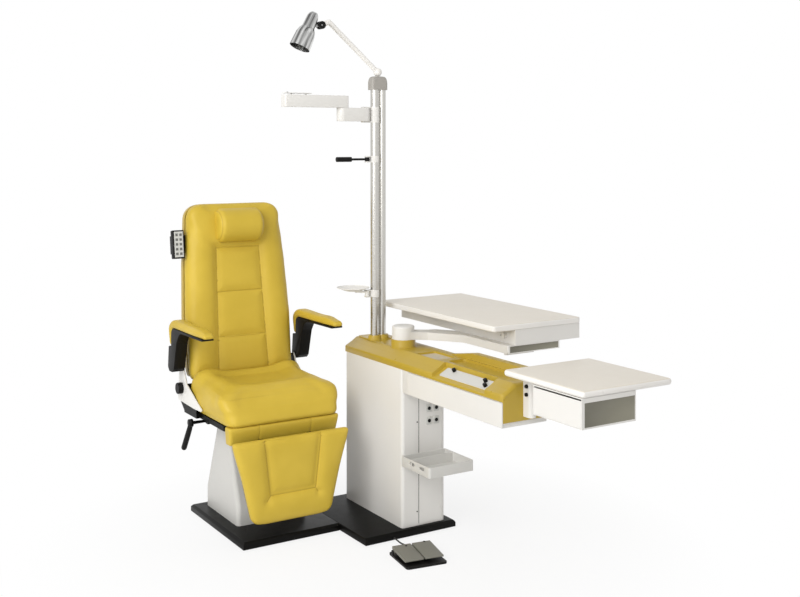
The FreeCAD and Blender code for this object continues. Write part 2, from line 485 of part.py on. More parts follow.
def seat_frame():
    """Pan with the two ears for the recline shaft, the leg-rest arms and the lever's bearing block."""
    pieces = [pan()]
    for side in (1, -1):
        ear = prism(EAR_OUTLINE, EAR_CORNER_R, "x", EAR_X)
        foot = block((PAN_X[1] - PAN_RIB, EAR_X[1]), EAR_FOOT_Y, PAN_Z)
        arm_drop = block(LEG_ARM_X, LEG_ARM_REAR_Y, (LEG_ARM_Z[0], PAN_Z[0]))
        arm_run = block(LEG_ARM_X, (HINGE_Y, LEG_ARM_REAR_Y[1]), LEG_ARM_Z)
        eye = rod(V(LEG_ARM_X[0], HINGE_Y, HINGE_Z), V(LEG_ARM_X[1], HINGE_Y, HINGE_Z), HINGE_EYE_R)
        half = joined(ear, foot, arm_drop, arm_run, eye)
        pieces.append(half if side > 0 else mirrored(half))
    pieces.append(block(LEVER_BLOCK_X, (LEVER_Y - LEVER_BLOCK_HALF, LEVER_Y + LEVER_BLOCK_HALF),
                        (LEVER_Z - LEVER_BLOCK_HALF, PAN_Z[0])))
    frame = joined(*pieces)
    wide = EAR_X[1] + REACH
    lever_bore = rod(V(LEVER_BLOCK_X[0], LEVER_Y, LEVER_Z), V(LEVER_BLOCK_X[1], LEVER_Y, LEVER_Z),
                     LEVER_R + SHAFT_CLEAR)
    hinge_bore = rod(V(-wide, HINGE_Y, HINGE_Z), V(wide, HINGE_Y, HINGE_Z), HINGE_ROD_R + SHAFT_CLEAR)
    pivot_bore = rod(V(-wide, PIVOT_Y, PIVOT_Z), V(wide, PIVOT_Y, PIVOT_Z), PIVOT_R + SHAFT_CLEAR)
    arm_bore = rod(V(-wide, ARM_PIVOT_Y, ARM_PIVOT_Z), V(wide, ARM_PIVOT_Y, ARM_PIVOT_Z),
                   ARM_PIN_R + SHAFT_CLEAR)
    return frame.cut([lever_bore, hinge_bore, pivot_bore, arm_bore])


def seat_cushion():
    """Crowned cushion, widest at mid height and drawn in at the welt above the pan."""
    wires = [wire(box_outline((-half, half), (front, rear)), radius, "z", z)
             for z, half, front, rear, radius in CUSHION_LEVELS]
    return Part.makeLoft(wires, True, True)


def seat_valance():
    valance = block(VALANCE_X, VALANCE_Y, VALANCE_Z)
    return soften(valance, VALANCE_R, lambda p: near(p.y, VALANCE_Y[0]) and near(abs(p.x), VALANCE_X[1]))


def side_cover():
    """White plate over the right ear, open round the recline shaft and the armrest pin."""
    cover = prism(SIDE_OUTLINE, SIDE_RADII, "x", COVER_X)
    openings = [rod(V(COVER_X[0], y, z), V(COVER_X[1], y, z), radius + SCREW_CLEAR)
                for y, z, radius in ((PIVOT_Y, PIVOT_Z, PIVOT_R), (ARM_PIVOT_Y, ARM_PIVOT_Z, ARM_PIN_R))]
    return cover.cut(openings)


def recline_pivot():
    """Shaft through both ears with a friction knob at each end."""
    shaft = rod(V(-KNOB_X[0], PIVOT_Y, PIVOT_Z), V(KNOB_X[0], PIVOT_Y, PIVOT_Z), PIVOT_R)
    knob = rod(V(KNOB_X[0], PIVOT_Y, PIVOT_Z), V(KNOB_X[1], PIVOT_Y, PIVOT_Z), KNOB_R)
    knob = soften(knob, KNOB_EDGE_R, lambda p: near(p.x, KNOB_X[1]))
    return joined(shaft, knob, mirrored(knob))


def swivel_lock_lever():
    """Cranked lever: the level rod turns in the seat frame, the hand grip hangs beside the seat."""
    bar = rod(V(LEVER_ROD_X[0], LEVER_Y, LEVER_Z), V(LEVER_ROD_X[1], LEVER_Y, LEVER_Z), LEVER_R)
    hub = rod(V(LEVER_HUB_X[0], LEVER_Y, LEVER_Z), V(LEVER_HUB_X[1], LEVER_Y, LEVER_Z), LEVER_HUB_R)
    points = [V(GRIP_X, y, z) for y, z in GRIP_POINTS]
    neck = Part.makeCone(GRIP_R[0], GRIP_R[1], points[0].distanceToPoint(points[1]), points[0],
                         points[1] - points[0])
    grip = Part.makeCone(GRIP_R[1], GRIP_R[2], points[1].distanceToPoint(points[2]), points[1],
                         points[2] - points[1])
    knuckle = Part.makeSphere(GRIP_R[1], points[1])
    end = Part.makeSphere(GRIP_R[2], points[2])
    return joined(bar, hub, neck, knuckle, grip, end)


def leaned(shape):
    """Move a piece of the backrest from its upright frame to its place on the chair."""
    shape = shape.copy()
    shape.rotate(NOWHERE, ALONG_X, -BACK_TILT)
    shape.translate(BACK_FOOT)
    return shape


def drawn_in(points, inset):
    """Corner points of an anticlockwise or clockwise outline with every side moved inwards."""
    area = sum(xa * yb - xb * ya for (xa, ya), (xb, yb) in zip(points, points[1:] + points[:1])) / 2
    inward = math.copysign(inset, area)
    moved = []
    for i, (x, y) in enumerate(points):
        (xa, ya), (xb, yb) = points[i - 1], points[(i + 1) % len(points)]
        first, second = math.hypot(x - xa, y - ya), math.hypot(xb - x, yb - y)
        na = ((ya - y) / first, (x - xa) / first)
        nb = ((y - yb) / second, (xb - x) / second)
        share = inward / (1 + na[0] * nb[0] + na[1] * nb[1])
        moved.append((x + (na[0] + nb[0]) * share, y + (na[1] + nb[1]) * share))
    return moved


def inset_wire(points, radii, inset, axis, along):
    """The outline drawn in evenly; its corner radii shrink with it."""
    smaller = [max(radius - inset, radius * LEAST_CORNER) for radius in radii]
    return wire(drawn_in(tuple(points), inset), smaller, axis, along)


def padded_panel(points, radii, steps, front):
    """Cushion seen from the front: sections set back from its front plane, each drawn in by its inset."""
    wires = [inset_wire(points, radii, inset, "y", front + depth) for depth, inset in steps]
    return Part.makeLoft(wires, True, True)


def back_cushion():
    """Padded back with its stitched panel seams pressed in as channels."""
    cushion = padded_panel(BACK_OUTLINE, BACK_RADII, BACK_STEPS, 0)
    high = BACK_SEAM_HEIGHTS[-1]
    bottom = BACK_STEPS[0][1]
    span = high - bottom
    seams = []
    for side in (1, -1):
        seams.append(rod(V(side * BACK_PANEL_HALF[0], 0, bottom), V(side * BACK_PANEL_HALF[1], 0, high),
                         BACK_CHANNEL))
    for height in BACK_SEAM_HEIGHTS:
        share = (height - bottom) / span
        half = BACK_PANEL_HALF[0] + (BACK_PANEL_HALF[1] - BACK_PANEL_HALF[0]) * share
        seams.append(rod(V(-half, 0, height), V(half, 0, height), BACK_CHANNEL))
    return leaned(cushion.cut(seams))


def back_shell_solid():
    """Shallow tray behind the cushion, in the backrest's own frame."""
    tray = prism(BACK_OUTLINE, BACK_RADII, "y", (BACK_CUSHION_T, BACK_CUSHION_T + BACK_SHELL_T))
    inner = Part.Face(inset_wire(BACK_OUTLINE, BACK_RADII, BACK_SHELL_WALL, "y", BACK_CUSHION_T))
    return tray, inner.extrude(ALONG_Y * (BACK_SHELL_T - BACK_SHELL_WALL))


def pivot_in_back():
    """Recline axis in the backrest's own frame, as depth and height."""
    place = V(0, PIVOT_Y, PIVOT_Z) - BACK_FOOT
    turn = FreeCAD.Rotation(ALONG_X, BACK_TILT)
    place = turn.multVec(place)
    return place.y, place.z


def uprights(lowest):
    """The frame's two bars and the openings that they pass through in the shell's lower edge."""
    bars = []
    for side in (1, -1):
        bar = block(UPRIGHT_X, (BACK_CUSHION_T, BACK_CUSHION_T + UPRIGHT_D), (lowest, UPRIGHT_TOP))
        bars.append(bar if side > 0 else mirrored(bar))
    return bars


def back_shell():
    tray, inner = back_shell_solid()
    slots = [block(grown(UPRIGHT_X, MOULD_CLEAR), (0, BACK_CUSHION_T + UPRIGHT_D + MOULD_CLEAR),
                   (-REACH, UPRIGHT_X[0]))]
    slots.append(mirrored(slots[0]))
    return leaned(tray.cut([inner] + slots))


def back_frame():
    """Welded frame between cushion and shell: cross tube on the recline shaft, two uprights, three bars."""
    depth, height = pivot_in_back()
    tube = rod(V(FRAME_TUBE_X[0], depth, height), V(FRAME_TUBE_X[1], depth, height), FRAME_TUBE_R)
    bars = [block((-UPRIGHT_X[0], UPRIGHT_X[0]), (BACK_CUSHION_T, BACK_CUSHION_T + UPRIGHT_D),
                  (z, z + CROSSBAR_H))
            for z in CROSSBAR_HEIGHTS]
    frame = joined(tube, *(uprights(height) + bars))
    bore = rod(V(FRAME_TUBE_X[0], depth, height), V(FRAME_TUBE_X[1], depth, height), PIVOT_R + SHAFT_CLEAR)
    return leaned(frame.cut(bore))


def headrest_pillow():
    """Half-round pillow lying flat against the cushion."""
    roll = rod(V(-PILLOW_HALF_X, 0, PILLOW_HEIGHT), V(PILLOW_HALF_X, 0, PILLOW_HEIGHT), PILLOW_R)
    roll = soften(roll, PILLOW_END_R, lambda p: near(abs(p.x), PILLOW_HALF_X))
    behind = block(grown((0, 0), REACH), (0, REACH), (0, PILLOW_HEIGHT + REACH))
    return leaned(roll.cut(behind))


def handset_body():
    """Hand-set with the bracket that holds it to the side of the shell, in the backrest's own frame."""
    body = block(HANDSET_X, HANDSET_DEPTH, HANDSET_HEIGHTS)
    body = soften(body, HANDSET_R, lambda p: near(p.y, HANDSET_DEPTH[0]) or near(p.x, HANDSET_X[0]))
    bracket = block(HANDSET_ARM_X, HANDSET_ARM_DEPTH, HANDSET_ARM_HEIGHTS)
    tray = back_shell_solid()[0]
    cushion = padded_panel(BACK_OUTLINE, BACK_RADII, BACK_STEPS, 0)
    return joined(body, bracket).cut([tray, cushion])


def key_places():
    """Two columns of keys down the front of the hand-set."""
    x_middle = middle(HANDSET_X)
    rise = (HANDSET_HEIGHTS[1] - HANDSET_HEIGHTS[0]) / (KEY_ROWS + 1)
    return [(x_middle + side * KEYPAD_HALF / 2, HANDSET_HEIGHTS[0] + rise * (row + 1))
            for side in (-1, 1) for row in range(KEY_ROWS)]


def key(x, z, extra, depth):
    wide = KEY_HALF + extra
    tall = KEY_HALF + extra
    return block((x - wide, x + wide), depth, (z - tall, z + tall))


def handset():
    """The keys sit in pockets that leave them room to travel."""
    pocket = (HANDSET_DEPTH[0], HANDSET_DEPTH[0] + KEY_H)
    return leaned(handset_body().cut([key(x, z, SCREW_CLEAR, pocket) for x, z in key_places()]))


def handset_keys():
    """Raised keys on the hand-set's face; they press together."""
    front = HANDSET_DEPTH[0] - KEY_RISE
    keys = [key(x, z, 0, (front, HANDSET_DEPTH[0] + KEYPAD_T)) for x, z in key_places()]
    return leaned(Part.makeCompound(keys))


def armrest_arm():
    """Right armrest's bracket: the column turns on a pin in the seat frame, its tongue carries the pad."""
    arm = prism(ARM_OUTLINE, ARM_RADII, "x", ARM_X)
    pin = rod(V(ARM_PIN_X, ARM_PIVOT_Y, ARM_PIVOT_Z), V(ARM_X[0], ARM_PIVOT_Y, ARM_PIVOT_Z), ARM_PIN_R)
    boss = rod(V(COVER_X[1], ARM_PIVOT_Y, ARM_PIVOT_Z), V(ARM_X[0], ARM_PIVOT_Y, ARM_PIVOT_Z), ARM_BOSS_R)
    return joined(arm, pin, boss)


def armrest_pad():
    """Right armrest's pad, rounded along the top and turned down at the rear."""
    pad = prism(PAD_OUTLINE, PAD_RADII, "x", PAD_X)
    top = PAD_OUTLINE[1][1]
    rear = PAD_OUTLINE[2][0]
    outer = [edge for edge in pad.Edges
             if (near(edge.CenterOfMass.x, PAD_X[0]) or near(edge.CenterOfMass.x, PAD_X[1]))
             and (edge.CenterOfMass.z > top - PAD_EDGE_R or edge.CenterOfMass.y > rear - PAD_RADII[2] / 2)]
    return pad.makeFillet(PAD_EDGE_R, outer)


def legrest_cushion():
    """Leg-rest pad with the tapered centre panel pressed in."""
    front = LEG_BOARD_Y[0] - LEG_CUSHION_T
    cushion = padded_panel(LEG_OUTLINE, LEG_RADII, LEG_STEPS, front)
    seams = []
    for (xa, za), (xb, zb) in zip(LEG_PANEL, LEG_PANEL[1:]):
        seams.append(rod(V(xa, front, za), V(xb, front, zb), LEG_CHANNEL))
    return cushion.cut(seams)


def legrest_frame():
    """Board behind the pad, notched round the carrying arms, with its lugs and the hinge rod."""
    face = Part.Face(inset_wire(LEG_OUTLINE, LEG_RADII, LEG_BOARD_INSET, "y", LEG_BOARD_Y[0]))
    board = face.extrude(ALONG_Y * (LEG_BOARD_Y[1] - LEG_BOARD_Y[0]))
    notch = block(LEG_NOTCH_X, LEG_BOARD_Y, (LEG_NOTCH_Z, LEG_NOTCH_Z + REACH))
    board = board.cut([notch, mirrored(notch)])
    lug = rod(V(LEG_LUG_X[0], HINGE_Y, HINGE_Z), V(LEG_LUG_X[1], HINGE_Y, HINGE_Z), LEG_LUG_R)
    lug = lug.cut(block(LEG_LUG_X, (LEG_BOARD_Y[0] - LEG_LUG_R, LEG_BOARD_Y[0]),
                        grown((HINGE_Z, HINGE_Z), LEG_LUG_R)))
    hinge_rod = rod(V(-LEG_LUG_X[1], HINGE_Y, HINGE_Z), V(LEG_LUG_X[1], HINGE_Y, HINGE_Z), HINGE_ROD_R)
    return joined(board, lug, mirrored(lug), hinge_rod)


def cabinet_shell():
    """Upright sheet-metal cabinet, open at the front where the service panel closes it."""
    outer = block(CABINET_X, CABINET_Y, CABINET_Z, CABINET_R)
    inner = block(grown(CABINET_X, -CABINET_WALL), grown(CABINET_Y, -CABINET_WALL),
                  grown(CABINET_Z, -CABINET_WALL),
                  CABINET_R - CABINET_WALL)
    front = (CABINET_Y[0], CABINET_Y[0] + CABINET_WALL)
    seat = block(PANEL_X, (front[0], front[0] + PANEL_T), PANEL_Z)
    hatch = block(grown(PANEL_X, -PANEL_LAP), front, grown(PANEL_Z, -PANEL_LAP))
    return outer.cut([inner, seat, hatch])


def service_panel():
    """Lift-off panel with its four screws; it carries the socket outlets."""
    front = (CABINET_Y[0], CABINET_Y[0] + PANEL_T)
    panel = block(grown(PANEL_X, -PANEL_REVEAL), front, grown(PANEL_Z, -PANEL_REVEAL))
    cuts = [block(grown((x, x), SOCKET_BODY_HALF + SCREW_CLEAR), front,
                  grown((z, z), SOCKET_BODY_HALF + SCREW_CLEAR))
            for x in SOCKET_X for z in SOCKET_Z]
    screws = [rod(V(x, front[0] - PANEL_SCREW_T, z), V(x, front[0], z), PANEL_SCREW_R) for x,
              z in PANEL_SCREWS]
    return joined(panel.cut(cuts), *screws)


def socket_outlets():
    """Four outlets, each a frame on the panel with a two-slot body behind it."""
    face = CABINET_Y[0]
    outlets = []
    for x in SOCKET_X:
        for z in SOCKET_Z:
            frame = block(grown((x, x), SOCKET_HALF_X), (face - SOCKET_T, face), grown((z, z), SOCKET_HALF_Z))
            body = block(grown((x, x), SOCKET_BODY_HALF), (face, face + SOCKET_BODY),
                         grown((z, z), SOCKET_BODY_HALF))
            slots = [block(grown((x, x), SOCKET_SLOT_HALF),
                           (face - SOCKET_T, face - SOCKET_T + SOCKET_SLOT_DEPTH),
                           (z + low, z + low + SOCKET_T)) for low in (-SOCKET_SLOT_HALF, SOCKET_T)]
            outlets.append(joined(frame, body).cut(slots))
    return Part.makeCompound(outlets)


def instrument_tray():
    """Open tray on the cabinet's front: one divider, two oval finger slots in the left wall."""
    tray = block(TRAY_X, TRAY_Y, TRAY_Z)
    tray = soften(tray, TRAY_R, lambda p: near(p.y, TRAY_Y[0]) and near(p.z, middle(TRAY_Z)))
    floor = TRAY_Z[0] + TRAY_WALL
    front = block(grown(TRAY_X, -TRAY_WALL), (TRAY_Y[0] + TRAY_WALL, TRAY_DIVIDER_Y - TRAY_WALL),
                  (floor, TRAY_Z[1]),
                  TRAY_R - TRAY_WALL)
    rear = block(grown(TRAY_X, -TRAY_WALL), (TRAY_DIVIDER_Y, TRAY_Y[1] - TRAY_WALL), (floor, TRAY_Z[1]))
    left = (TRAY_X[0], TRAY_X[0] + TRAY_WALL)
    slots = [block(left, (y - TRAY_SLOT_HALF, y + TRAY_SLOT_HALF),
                   grown((TRAY_SLOT_Z, TRAY_SLOT_Z), TRAY_SLOT_R))
             for y in TRAY_SLOTS_Y]
    slots = [soften(slot, TRAY_SLOT_R - SCREW_CLEAR, lambda p: near(p.x, middle(left))) for slot in slots]
    return tray.cut([front, rear] + slots)


def console_beam():
    """Sheet-steel box that carries the lid in front of the cabinet; the lens drawer runs in its left side."""
    outer = block(BEAM_X, BEAM_Y, BEAM_Z)
    inner = block((BEAM_X[0], BEAM_X[1] - BEAM_WALL), grown(BEAM_Y, -BEAM_WALL), grown(BEAM_Z, -BEAM_WALL))
    cheek = block((BEAM_X[0], BEAM_X[0] + BEAM_WALL), (DRAWER_FRONT_Y[1] - BEAM_WALL, BEAM_Y[1]), BEAM_Z)
    return joined(outer.cut(inner), cheek)


def drawer(front_x, front_y, front_z, xs, ys, floor, top, wall):
    """Open box behind a flush front."""
    face = block(front_x, front_y, front_z)
    box = block(xs, ys, (floor, top))
    inner = block((xs[0], xs[1] - wall), grown(ys, -wall), (floor + wall, top))
    return joined(face, box.cut(inner))


def lens_drawer():
    floor = BEAM_Z[0] + BEAM_WALL
    return drawer(DRAWER_FRONT_X, DRAWER_FRONT_Y, DRAWER_FRONT_Z, DRAWER_X, DRAWER_Y, floor, DRAWER_TOP,
                  DRAWER_WALL)


def lid_outside():
    """Moulded body of the console lid before it is hollowed."""
    body = prism(LID_SECTION, LID_SECTION_RADII, "y", LID_Y)
    nose = [edge for edge in body.Edges if near(edge.CenterOfMass.y,
                                                LID_Y[0]) and edge.CenterOfMass.z > LID_SECTION[1][1]]
    body = body.makeFillet(LID_NOSE_R, nose)
    skirt = block(LID_SKIRT_X, LID_SKIRT_Y, LID_SKIRT_Z)
    plateau = block(PLATEAU_X, PLATEAU_Y, (LID_Z[0], PLATEAU_TOP), PLATEAU_R)
    rim = prism(RIM_OUTLINE, RIM_RADII, "x", RIM_X)
    deck = prism(DECK_SECTION, 0, "y", DECK_Y)
    boss = upright(BOSS_X, BOSS_Y, (LID_Z[0], BOSS_TOP), BOSS_R)
    feet = [upright(x, y, (LID_Z[0], FOOT_RING_TOP), FOOT_RING_R) for x, y in FOOT_RING_CENTRES]
    return joined(body.cut(deck), skirt, plateau, rim, boss, *feet)


def console_lid():
    """Lid with pole plateau, table boss, sloped control deck, tray recess and raised rim, hollow underneath."""
    rear = prism(HOLLOW_SECTION, 0, "y", (DECK_Y[1] + LID_WALL, LID_Y[1] - LID_WALL))
    front = prism(DECK_HOLLOW_SECTION, 0, "y", (LID_SKIRT_Y[1], DECK_Y[1] + LID_WALL))
    recess = block(RECESS_X, RECESS_Y, (RECESS_FLOOR, LID_Z[1] + LID_WALL), RECESS_R)
    trough = block(TROUGH_X, TROUGH_Y, (TROUGH_FLOOR, LID_Z[1] + REACH), TROUGH_R)
    tubes = [upright(x, POLE_Y, (LID_Z[0], FOOT_RING_TOP), radius + SKIN_CLEAR)
             for x, radius in ((POLE_LEFT_X, POLE_LEFT_R), (POLE_RIGHT_X, POLE_RIGHT_R))]
    web = block(POLE_WEB_X, grown((POLE_Y, POLE_Y), POLE_WEB_HALF + SKIN_CLEAR), (LID_Z[0], FOOT_RING_TOP))
    pin = upright(BOSS_X, BOSS_Y, (BOSS_TOP - HUB_PIN_DEPTH, BOSS_TOP), HUB_PIN_R + SHAFT_CLEAR)
    return lid_outside().cut([rear, front, recess, trough, web, pin] + tubes)


def deck_point(y, share, rise):
    """Point on the sloped control deck: share of the way up it, rise above its surface."""
    slope = DECK_HEAD - DECK_FOOT
    normal = V(-slope.z, 0, slope.x).normalize()
    place = DECK_FOOT + slope * share + normal * rise
    return V(place.x, y, place.z)


def control_panel():
    """Thin plate on the sloped deck, bored for the three knobs."""
    low, high = CONTROL_SHARES
    section = [(p.x, p.z) for p in (deck_point(0, low, 0), deck_point(0, high, 0),
                                    deck_point(0, high, CONTROL_T),
                                    deck_point(0, low, CONTROL_T))]
    plate = prism(section, 0, "y", CONTROL_Y)
    stems = [rod(deck_point(y, share, 0), deck_point(y, share, CONTROL_T), CONTROL_STEM_R + SHAFT_CLEAR)
             for y, share in CONTROL_KNOBS]
    return plate.cut(stems)


def control_knob(y, share):
    """Turned knob standing on the panel, its stem down to the deck."""
    knob = rod(deck_point(y, share, CONTROL_T), deck_point(y, share, CONTROL_T + CONTROL_KNOB_H),
               CONTROL_KNOB_R)
    stem = rod(deck_point(y, share, 0), deck_point(y, share, CONTROL_T), CONTROL_STEM_R)
    return joined(knob, stem)


def pole_tubes():
    """Twin uprights joined by a web; they stand in sockets of the lid."""
    left = upright(POLE_LEFT_X, POLE_Y, POLE_Z, POLE_LEFT_R)
    right = upright(POLE_RIGHT_X, POLE_Y, POLE_Z, POLE_RIGHT_R)
    web = block(POLE_WEB_X, grown((POLE_Y, POLE_Y), POLE_WEB_HALF), POLE_Z)
    bores = [upright(POLE_LEFT_X, POLE_Y, POLE_Z, POLE_LEFT_R - POLE_WALL),
             upright(POLE_RIGHT_X, POLE_Y, POLE_Z, POLE_RIGHT_R - POLE_WALL)]
    return joined(left, right, web).cut(bores)


def pole_section(extra, zs):
    """Outline of the twin pole with a clearance, used to cut what it passes through."""
    return joined(upright(POLE_LEFT_X, POLE_Y, zs, POLE_LEFT_R + extra),
                  upright(POLE_RIGHT_X, POLE_Y, zs, POLE_RIGHT_R + extra),
                  block(POLE_WEB_X, grown((POLE_Y, POLE_Y), POLE_WEB_HALF + extra), zs))


def pole_cap():
    """Grey cap over the pole's end with the bearing for the lamp."""
    cap = block(CAP_X, grown((POLE_Y, POLE_Y), CAP_HALF_Y), CAP_Z, CAP_R)
    cap = soften(cap, CAP_R - CAP_LAP / 2, lambda p: near(p.z, CAP_Z[1]))
    socket = pole_section(SKIN_CLEAR, (CAP_Z[0], POLE_Z[1]))
    bore = upright(LAMP_POST_X, POLE_Y, (POLE_Z[1], CAP_Z[1]), LAMP_POST_R + SHAFT_CLEAR)
    return cap.cut([socket, bore])


def lamp_arm():
    """Post in the cap, ball, sloped rod and the fork at its tip."""
    post = upright(LAMP_POST_X, POLE_Y, (POLE_Z[1], LAMP_BALL_Z), LAMP_POST_R)
    ball = Part.makeSphere(LAMP_BALL_R, V(LAMP_POST_X, POLE_Y, LAMP_BALL_Z))
    start = V(LAMP_POST_X, POLE_Y, LAMP_BALL_Z)
    bar = rod(start, LAMP_ELBOW, LAMP_ROD_R)
    elbow = Part.makeSphere(LAMP_ROD_R, LAMP_ELBOW)
    tongue = rod(LAMP_ELBOW, LAMP_JOINT, LAMP_ROD_R)
    eye = rod(LAMP_JOINT - ALONG_Y * LAMP_FORK_HALF, LAMP_JOINT + ALONG_Y * LAMP_FORK_HALF, LAMP_FORK_R)
    throat = block(grown((LAMP_JOINT.x, LAMP_JOINT.x), LAMP_FORK_R + LAMP_FORK_HALF),
                   grown((POLE_Y, POLE_Y), LAMP_FORK_GAP),
                   grown((LAMP_JOINT.z, LAMP_JOINT.z), LAMP_FORK_R + LAMP_FORK_HALF))
    bore = rod(LAMP_JOINT - ALONG_Y * LAMP_FORK_HALF, LAMP_JOINT + ALONG_Y * LAMP_FORK_HALF,
               LAMP_PIN_R + SHAFT_CLEAR)
    return joined(post, ball, bar, elbow, tongue, eye).cut([throat, bore])


def head_solid(thinner):
    """Bullet-shaped lamp head from its apex to its rim."""
    axis = HEAD_RIM - HEAD_APEX
    profile = [(share * axis.Length + (thinner if share == 0 else 0), radius - thinner) for share,
               radius in HEAD_PROFILE]
    return spin(profile, HEAD_APEX, axis)


def lamp_head():
    """Shade with the neck that turns in the arm's fork."""
    axis = HEAD_RIM - HEAD_APEX
    foot = HEAD_APEX + axis * HEAD_PROFILE[3][0]
    neck = rod(LAMP_JOINT, foot, HEAD_NECK_R)
    blade = rod(LAMP_JOINT - ALONG_Y * (LAMP_FORK_GAP - SHAFT_CLEAR),
                LAMP_JOINT + ALONG_Y * (LAMP_FORK_GAP - SHAFT_CLEAR),
                LAMP_FORK_R - LAMP_PIN_R)
    pin = rod(LAMP_JOINT - ALONG_Y * LAMP_FORK_HALF, LAMP_JOINT + ALONG_Y * LAMP_FORK_HALF, LAMP_PIN_R)
    return joined(head_solid(0), neck, blade, pin).cut(head_solid(HEAD_WALL))


def lamp_bulb():
    """Reflector bulb screwed up into the narrow part of the shade."""
    axis = HEAD_RIM - HEAD_APEX
    unit = V(axis).normalize()
    seat = HEAD_APEX + unit * HEAD_WALL
    centre = HEAD_APEX + axis * BULB_AT
    stem = rod(seat, centre, BULB_CAP_R)
    return joined(stem, Part.makeSphere(BULB_R, centre))


def clamp(zs, pin_x, pin_r):
    """Saddle on the pole's left tube with two lugs and the pin that an accessory turns on."""
    low, high = grown(zs, SKIN_CLEAR)
    whole = (low - LUG_T, high + LUG_T)
    saddle = upright(POLE_LEFT_X, POLE_Y, whole, CLAMP_R)
    tip = pin_x - pin_r - LUG_LIP
    lugs = [block((tip, LUG_ROOT_X), grown((POLE_Y, POLE_Y), LUG_HALF_Y), span)
            for span in ((whole[0], low), (high, whole[1]))]
    pin = upright(pin_x, POLE_Y, whole, pin_r)
    spare = block((CLAMP_CUT_X, CLAMP_CUT_X + REACH), grown((POLE_Y, POLE_Y), REACH), whole)
    tube = upright(POLE_LEFT_X, POLE_Y, whole, POLE_LEFT_R + SKIN_CLEAR)
    return joined(saddle, pin, *lugs).cut([spare, tube])


def pole_clamps():
    """Clamps for the phoropter arm, the handle and the dish."""
    return Part.makeCompound([clamp(INNER_ARM_Z, SHOULDER_X, SHOULDER_R),
                              clamp(HANDLE_EYE_Z, HANDLE_PIN_X, SMALL_PIN_R),
                              clamp(DISH_EYE_Z, DISH_PIN_X, SMALL_PIN_R)])


def phoropter_inner_arm():
    """First link, round-ended on the shoulder pin, with the elbow pin on its far end."""
    link = block(INNER_ARM_X, grown((POLE_Y, POLE_Y), ARM_HALF_Y), INNER_ARM_Z, ARM_HALF_Y - SHAFT_CLEAR)
    pin = upright(ELBOW_X, POLE_Y, (INNER_ARM_Z[1], INNER_ARM_Z[1] + ELBOW_DEPTH), ELBOW_PIN_R)
    bore = upright(SHOULDER_X, POLE_Y, INNER_ARM_Z, SHOULDER_R + SHAFT_CLEAR)
    return joined(link, pin).cut(bore)


def phoropter_outer_arm():
    """Second link over the elbow; a thin plate stands over its far end, and the bore runs through both."""
    link = block(OUTER_ARM_X, grown((POLE_Y, POLE_Y), ARM_HALF_Y), OUTER_ARM_Z, ARM_EDGE)
    under = OUTER_ARM_Z[1] + TOP_PLATE_GAP
    over = under + TOP_PLATE_T
    plate = block(TOP_PLATE_X, grown((POLE_Y, POLE_Y), TOP_PLATE_HALF_Y), (under, over))
    studs = [upright(x, POLE_Y, (OUTER_ARM_Z[1], under), PLATE_STUD_R) for x in PLATE_STUDS_X]
    elbow = upright(ELBOW_X, POLE_Y, (OUTER_ARM_Z[0], OUTER_ARM_Z[0] + ELBOW_DEPTH),
                    ELBOW_PIN_R + SHAFT_CLEAR)
    bore = upright(END_BORE_X, POLE_Y, (OUTER_ARM_Z[0], over), END_BORE_R)
    return joined(link, plate, *studs).cut([elbow, bore])


def pole_handle():
    """Eye on its pin, rod and hand grip."""
    eye = upright(HANDLE_PIN_X, POLE_Y, HANDLE_EYE_Z, HANDLE_EYE_R)
    bar = rod(V(HANDLE_ROD_X[0], POLE_Y, HANDLE_Z), V(HANDLE_ROD_X[1], POLE_Y, HANDLE_Z), HANDLE_R)
    grip = rod(V(HANDLE_GRIP_X[0], POLE_Y, HANDLE_Z), V(HANDLE_GRIP_X[1], POLE_Y, HANDLE_Z), HANDLE_GRIP_R)
    grip = soften(grip, HANDLE_R / 2, lambda p: near(p.x, HANDLE_GRIP_X[0]))
    bore = upright(HANDLE_PIN_X, POLE_Y, HANDLE_EYE_Z, SMALL_PIN_R + SHAFT_CLEAR)
    return joined(eye, bar, grip).cut(bore)


def accessory_dish():
    """Shallow round dish on a stay that turns on its pin; at rest it stands turned towards the back."""
    low, high = DISH_Z
    foot = V(DISH_X, POLE_Y, low)
    outside = ((0, DISH_BED), (high - low - DISH_WALL, DISH_R), (high - low, DISH_R))
    inside = ((DISH_WALL, DISH_BED), (high - low - DISH_WALL, DISH_R - DISH_WALL),
              (high - low, DISH_R - DISH_WALL))
    dish = spin(outside, foot, ALONG_Z).cut(spin(inside, foot, ALONG_Z))
    stay = block(DISH_STAY_X, grown((POLE_Y, POLE_Y), DISH_STAY_HALF_Y), DISH_STAY_Z)
    eye = upright(DISH_PIN_X, POLE_Y, DISH_EYE_Z, DISH_EYE_R)
    bore = upright(DISH_PIN_X, POLE_Y, DISH_EYE_Z, SMALL_PIN_R + SHAFT_CLEAR)
    whole = joined(dish, stay, eye).cut(bore)
    whole.rotate(V(DISH_PIN_X, POLE_Y, 0), ALONG_Z, DISH_REST_TURN)
    return whole


